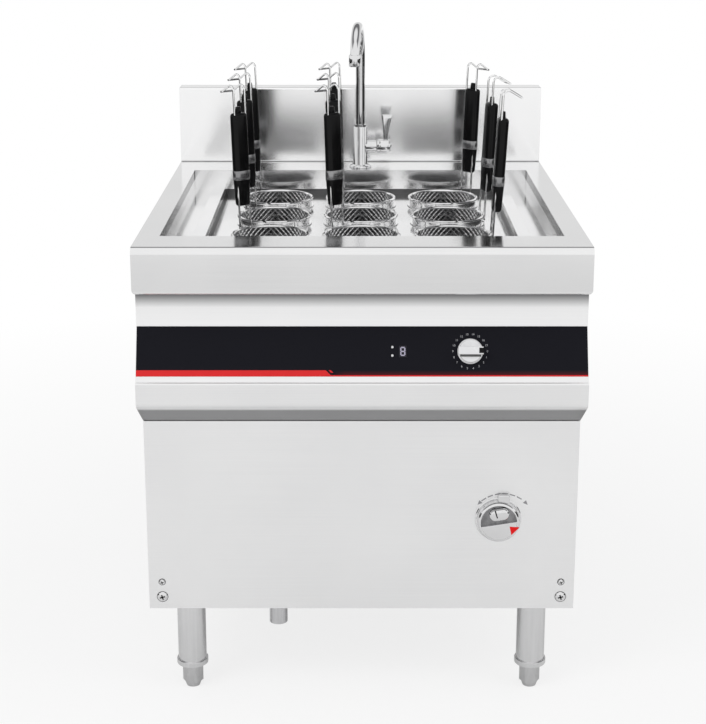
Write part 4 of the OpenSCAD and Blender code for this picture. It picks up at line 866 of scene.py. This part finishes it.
def drain_handle():
    """A cup with a rolled rim, its flat face, the boss and the lever tab."""
    roll_w, floor_z = handle_rim - roll_r, pocket_z - 0.4 * mm
    angles = [math.pi / 2 * i / roll_steps for i in range(roll_steps + 1)]
    roll = [(roll_r + roll_w * math.cos(a), handle_face - roll_h + roll_h * math.sin(a)) for a in angles]
    back = [(0, handle_low), (handle_rim - 1 * mm, handle_low), (handle_rim, handle_low + 1 * mm)]
    hollow = [(pocket_r, handle_face - 0.8 * mm), (pocket_r, floor_z), (0, floor_z)]
    cup = turned(back + roll + hollow, steps=72)
    tab = bar(tab_w, tab_len, tab_t, 2.4 * mm, segments=4)
    placed(tab, Matrix.Translation((tab_x, tab_len / 2, handle_low + tab_t / 2)))
    return placed(joined(cup, drain_face(), drain_boss(), tab), drain)


finished(drain_handle(), "drain_knob", "drain_control", plated, ["drain_handle"],
         crease=35)
# The pocket's floor runs from near black to grey: painted shade and painted reflection of a dished metal
# pocket.
pocket_floor = rod(pocket_r - 0.1 * mm, pocket_z - 0.3 * mm, pocket_z + 0.2 * mm, steps=64)
finished(placed(pocket_floor, drain), "drain_pocket", "drain_control",
         steel("pocket_painted_shade", (0.02, 0.02, 0.021), (0.42, 0.42, 0.43),
               roughness=0.12, stretch=(70, 70, 25), spread=0.06))
# A dark bar on the boss stands for an engraved notch: painted shade and painted reflection.
notch_shade = bar(2.4 * mm, 15 * mm, 2 * mm, 0.5 * mm)
notch_shade_place = Matrix.Translation((-6 * mm, 20 * mm, boss_top - 0.8 * mm)) @ Matrix.Rotation(0.3, 4, "Z")
finished(placed(notch_shade, drain @ notch_shade_place), "drain_notch_shade", "drain_control",
         grip_plastic)
red_pointer = wedge([(20 * mm, -7.5 * mm), (38 * mm, -9 * mm), (23.5 * mm, -24 * mm)],
                    handle_face - 1 * mm, 2 * mm)
finished(placed(eased(red_pointer, 0.3 * mm), drain), "drain_pointer", "drain_control",
         moulded("red_pointer", (0.7, 0.004, 0.004), roughness=0.35, scale=900, bump=0.03, shine=0.2))
arc = drain @ Matrix.Translation((7.7 * mm, -9.5 * mm, 0.05 * mm))
arc_r, arc_first, arc_step, arc_dashes = 60 * mm, math.radians(59.5), math.radians(13.3), 6
arc_ends, dash_share, dash_w, ink_t = (math.radians(44), math.radians(136)), 0.74, 2.2 * mm, 0.1 * mm


def turning_marks():
    """Dashes along an arc, and an arrowhead at each end."""
    marks = []
    for i in range(arc_dashes):
        dash = bar(dash_share * arc_step * arc_r, dash_w, ink_t, 0.03 * mm, segments=1)
        marks.append((dash, arc_first + i * arc_step))
    for way, angle in zip((1, -1), arc_ends):
        tip, tail, half = way * 5 * mm, -way * 4 * mm, 4 * mm
        marks.append((wedge([(tip, 0), (tail, half), (tail, -half)], -ink_t / 2, ink_t), angle))
    out = Matrix.Translation((0, arc_r, 0))
    return joined(*[placed(mark, arc @ Matrix.Rotation(angle - math.pi / 2, 4, "Z") @ out)
                    for mark, angle in marks])


finished(turning_marks(), "turning_marks", "cabinet",
         moulded("grey_print", (0.26, 0.26, 0.27), roughness=0.5, scale=900, bump=0.02, shine=0.2))

# Legs and feet: stainless tube with a flange under the base pan and a collar at its end. The hexagonal
# feet screw into a plug inside each tube.
leg_steel = steel("leg_tube", (0.62, 0.62, 0.625), (0.78, 0.78, 0.785),
                  roughness=0.16, stretch=(300, 300, 4), spread=0.06, bump=0.01)
softened("leg_tubes", leg_steel, 0.8 * mm, segments=3)
foot_steel = steel("foot_bar", (0.5, 0.5, 0.505), (0.68, 0.68, 0.685),
                   roughness=0.2, stretch=(200, 200, 40), spread=0.08)
for corner in ("front_left", "front_right", "rear_left", "rear_right"):
    softened(f"foot_{corner}", foot_steel, 1.2 * mm, segments=3)

# What lies inside and below: steel frame, pipes and shafts, a brass valve and inlet, a copper coil and
# supply pipe, moulded boards, fan, gland and terminals. They are bolted in place, in their CAD shapes.
pipe_steel = steel("pipe_finish", (0.5, 0.5, 0.51), (0.72, 0.72, 0.73),
                   roughness=0.25, stretch=(200, 200, 20))
brass = steel("turned_brass", (0.6, 0.42, 0.16), (0.78, 0.58, 0.28),
              roughness=0.25, stretch=(300, 300, 300))
copper = steel("drawn_copper", (0.55, 0.24, 0.12), (0.75, 0.38, 0.22),
               roughness=0.28, stretch=(120, 120, 120))
cast = steel("extruded_metal", (0.3, 0.3, 0.31), (0.48, 0.48, 0.5), roughness=0.4, stretch=(300, 8, 300))
insulation = moulded("pale_board", (0.74, 0.7, 0.6), roughness=0.7, scale=500, bump=0.2)
board = moulded("board_lacquer", (0.02, 0.16, 0.06), roughness=0.3, scale=700, bump=0.1)
dark_plastic = moulded("dark_moulding", (0.03, 0.03, 0.033), roughness=0.45, scale=1500, bump=0.1)
for material, nodes in (
        (pipe_steel, ("chassis_frame", "drain_pipe", "overflow_pipe", "drain_spindle", "encoder_shaft")),
        (brass, ("water_inlet", "drain_valve")),
        (copper, ("supply_pipe", "induction_coil")),
        (cast, ("power_module",)),
        (insulation, ("coil_carrier", "terminal_block")),
        (board, ("control_board",)),
        (dark_plastic, ("fan_housing", "fan_rotor", "cable_gland"))):
    for node in nodes:
        finishes = frame["nodes"][node].data.materials
        finishes.clear()
        finishes.append(material)

# Studio: a wide pale floor in a white room, with two large soft lamps. Only what shines sees the black
# flags at both sides, the grey backdrop and the dark border high up, which give the steel its contrast.
white, floor_half = (1, 1, 1, 1), 40
flag_x, flag_y, flag_z, flag_w, flag_h = 3.4, 0.9, 0.58, 7.2, 1.14
lamp_aim, lamp_size = Vector((0, 0, 0.7)), 2


def studio_floor():
    """Matt and pale. To the camera it is white with the object's shadow, and to metal darker close by."""
    material = started("pale_floor", {"Base Color": (0.74, 0.74, 0.74, 1), "Roughness": 0.9})
    tree = material.node_tree
    rays = put(tree, "ShaderNodeLightPath").outputs
    mirrored = maths(tree, "MAXIMUM", rays["Is Glossy Ray"], rays["Is Transmission Ray"])
    away = put(tree, "ShaderNodeVectorMath", {0: spot(tree)}, operation="LENGTH").outputs["Value"]
    in_view = ramp(tree, away, 0.8, 2.5, 0.78, 1)
    in_metal = ramp(tree, away, 3.6, 5.5, 0.12, 1)
    seen = maths(tree, "MULTIPLY", rays["Is Camera Ray"], in_view)
    share = maths(tree, "MULTIPLY_ADD", mirrored, in_metal, seen)
    bright = put(tree, "ShaderNodeEmission", {"Color": white, "Strength": 1}).outputs[0]
    matt = tree.nodes["Principled BSDF"].outputs[0]
    mixed = put(tree, "ShaderNodeMixShader", {0: share, 1: matt, 2: bright}).outputs[0]
    tree.links.new(mixed, tree.nodes["Material Output"].inputs["Surface"])
    shape = bmesh.new()
    bmesh.ops.create_grid(shape, x_segments=1, y_segments=1, size=floor_half)
    linked(shape, "floor", material)


studio_floor()


def studio_flag(name, x):
    """A black cloth on a frame, hung upright where only what shines can see it."""
    shape = bmesh.new()
    bmesh.ops.create_grid(shape, x_segments=1, y_segments=1, size=0.5)
    upright = Matrix.Rotation(math.pi / 2, 4, "Z") @ Matrix.Rotation(math.pi / 2, 4, "X")
    stand = Matrix.Translation((x, flag_y, flag_z)) @ upright
    placed(shape, stand @ Matrix.Diagonal((flag_w, flag_h, 1, 1)))
    flag = linked(shape, name, started(name, {"Base Color": (0.01, 0.01, 0.01, 1)}))
    flag.visible_camera = flag.visible_diffuse = flag.visible_shadow = False


studio_flag("flag_left", -flag_x)
studio_flag("flag_right", flag_x)


def studio_world():
    """White all round. What shines also mirrors a grey backdrop, and a dark border behind and beside."""
    world = bpy.data.worlds.new("studio")
    bpy.context.scene.world = world
    world.use_nodes = True
    tree = world.node_tree
    way = axes_of(tree, put(tree, "ShaderNodeTexCoord").outputs["Generated"])
    behind = ramp(tree, way["Y"], 0.25, 0.45, 0, 1)
    around = ramp(tree, way["Y"], -0.45, -0.25, 0, 1)
    above = ramp(tree, way["Z"], 0.44, 0.52, 0, 1)
    below = ramp(tree, way["Z"], 0.8, 0.9, 1, 0)
    border = maths(tree, "MULTIPLY", maths(tree, "MULTIPLY", above, below), around)
    rays = put(tree, "ShaderNodeLightPath").outputs
    backdrop = tinted(tree, behind, white, (0.8, 0.8, 0.8, 1))
    room = tinted(tree, border, backdrop, (0.2, 0.2, 0.205, 1))
    colour = tinted(tree, rays["Is Glossy Ray"], white, room)
    seen = maths(tree, "MAXIMUM", rays["Is Camera Ray"], rays["Is Glossy Ray"])
    seen = maths(tree, "MAXIMUM", seen, rays["Is Transmission Ray"])
    sky = tree.nodes["Background"].inputs
    tree.links.new(colour, sky["Color"])
    tree.links.new(ramp(tree, seen, 0, 1, 0.75, 1), sky["Strength"])


studio_world()


def soft_lamp(name, place, power):
    data = bpy.data.lights.new(name, "AREA")
    data.shape, data.size, data.energy = "SQUARE", lamp_size, power
    lamp = bpy.data.objects.new(name, data)
    lamp.location = place
    lamp.rotation_euler = (lamp_aim - Vector(place)).to_track_quat("-Z", "Y").to_euler()
    lamp.visible_glossy = False
    bpy.context.scene.collection.objects.link(lamp)


soft_lamp("key_lamp", (-2.2, -2.4, 3.4), 60)
soft_lamp("fill_lamp", (2.6, -1.2, 2.6), 25)

# Camera: a long lens at a standing height in front of the cooker. It is tilted down and its frame is
# shifted a little, so that the object is framed as in the photograph.
camera_tilt = math.radians(14.73)
camera = bpy.data.cameras.new("camera")
camera.sensor_width = 36
camera.lens = 78.7
camera.shift_y = -0.1
viewer = bpy.data.objects.new("camera", camera)
viewer.location = (-0.016, -3.1, 1.523)
viewer.rotation_euler = (math.pi / 2 - camera_tilt, 0, 0)
bpy.context.scene.collection.objects.link(viewer)
bpy.context.scene.camera = viewer
bpy.context.scene.view_settings.view_transform = "Standard"
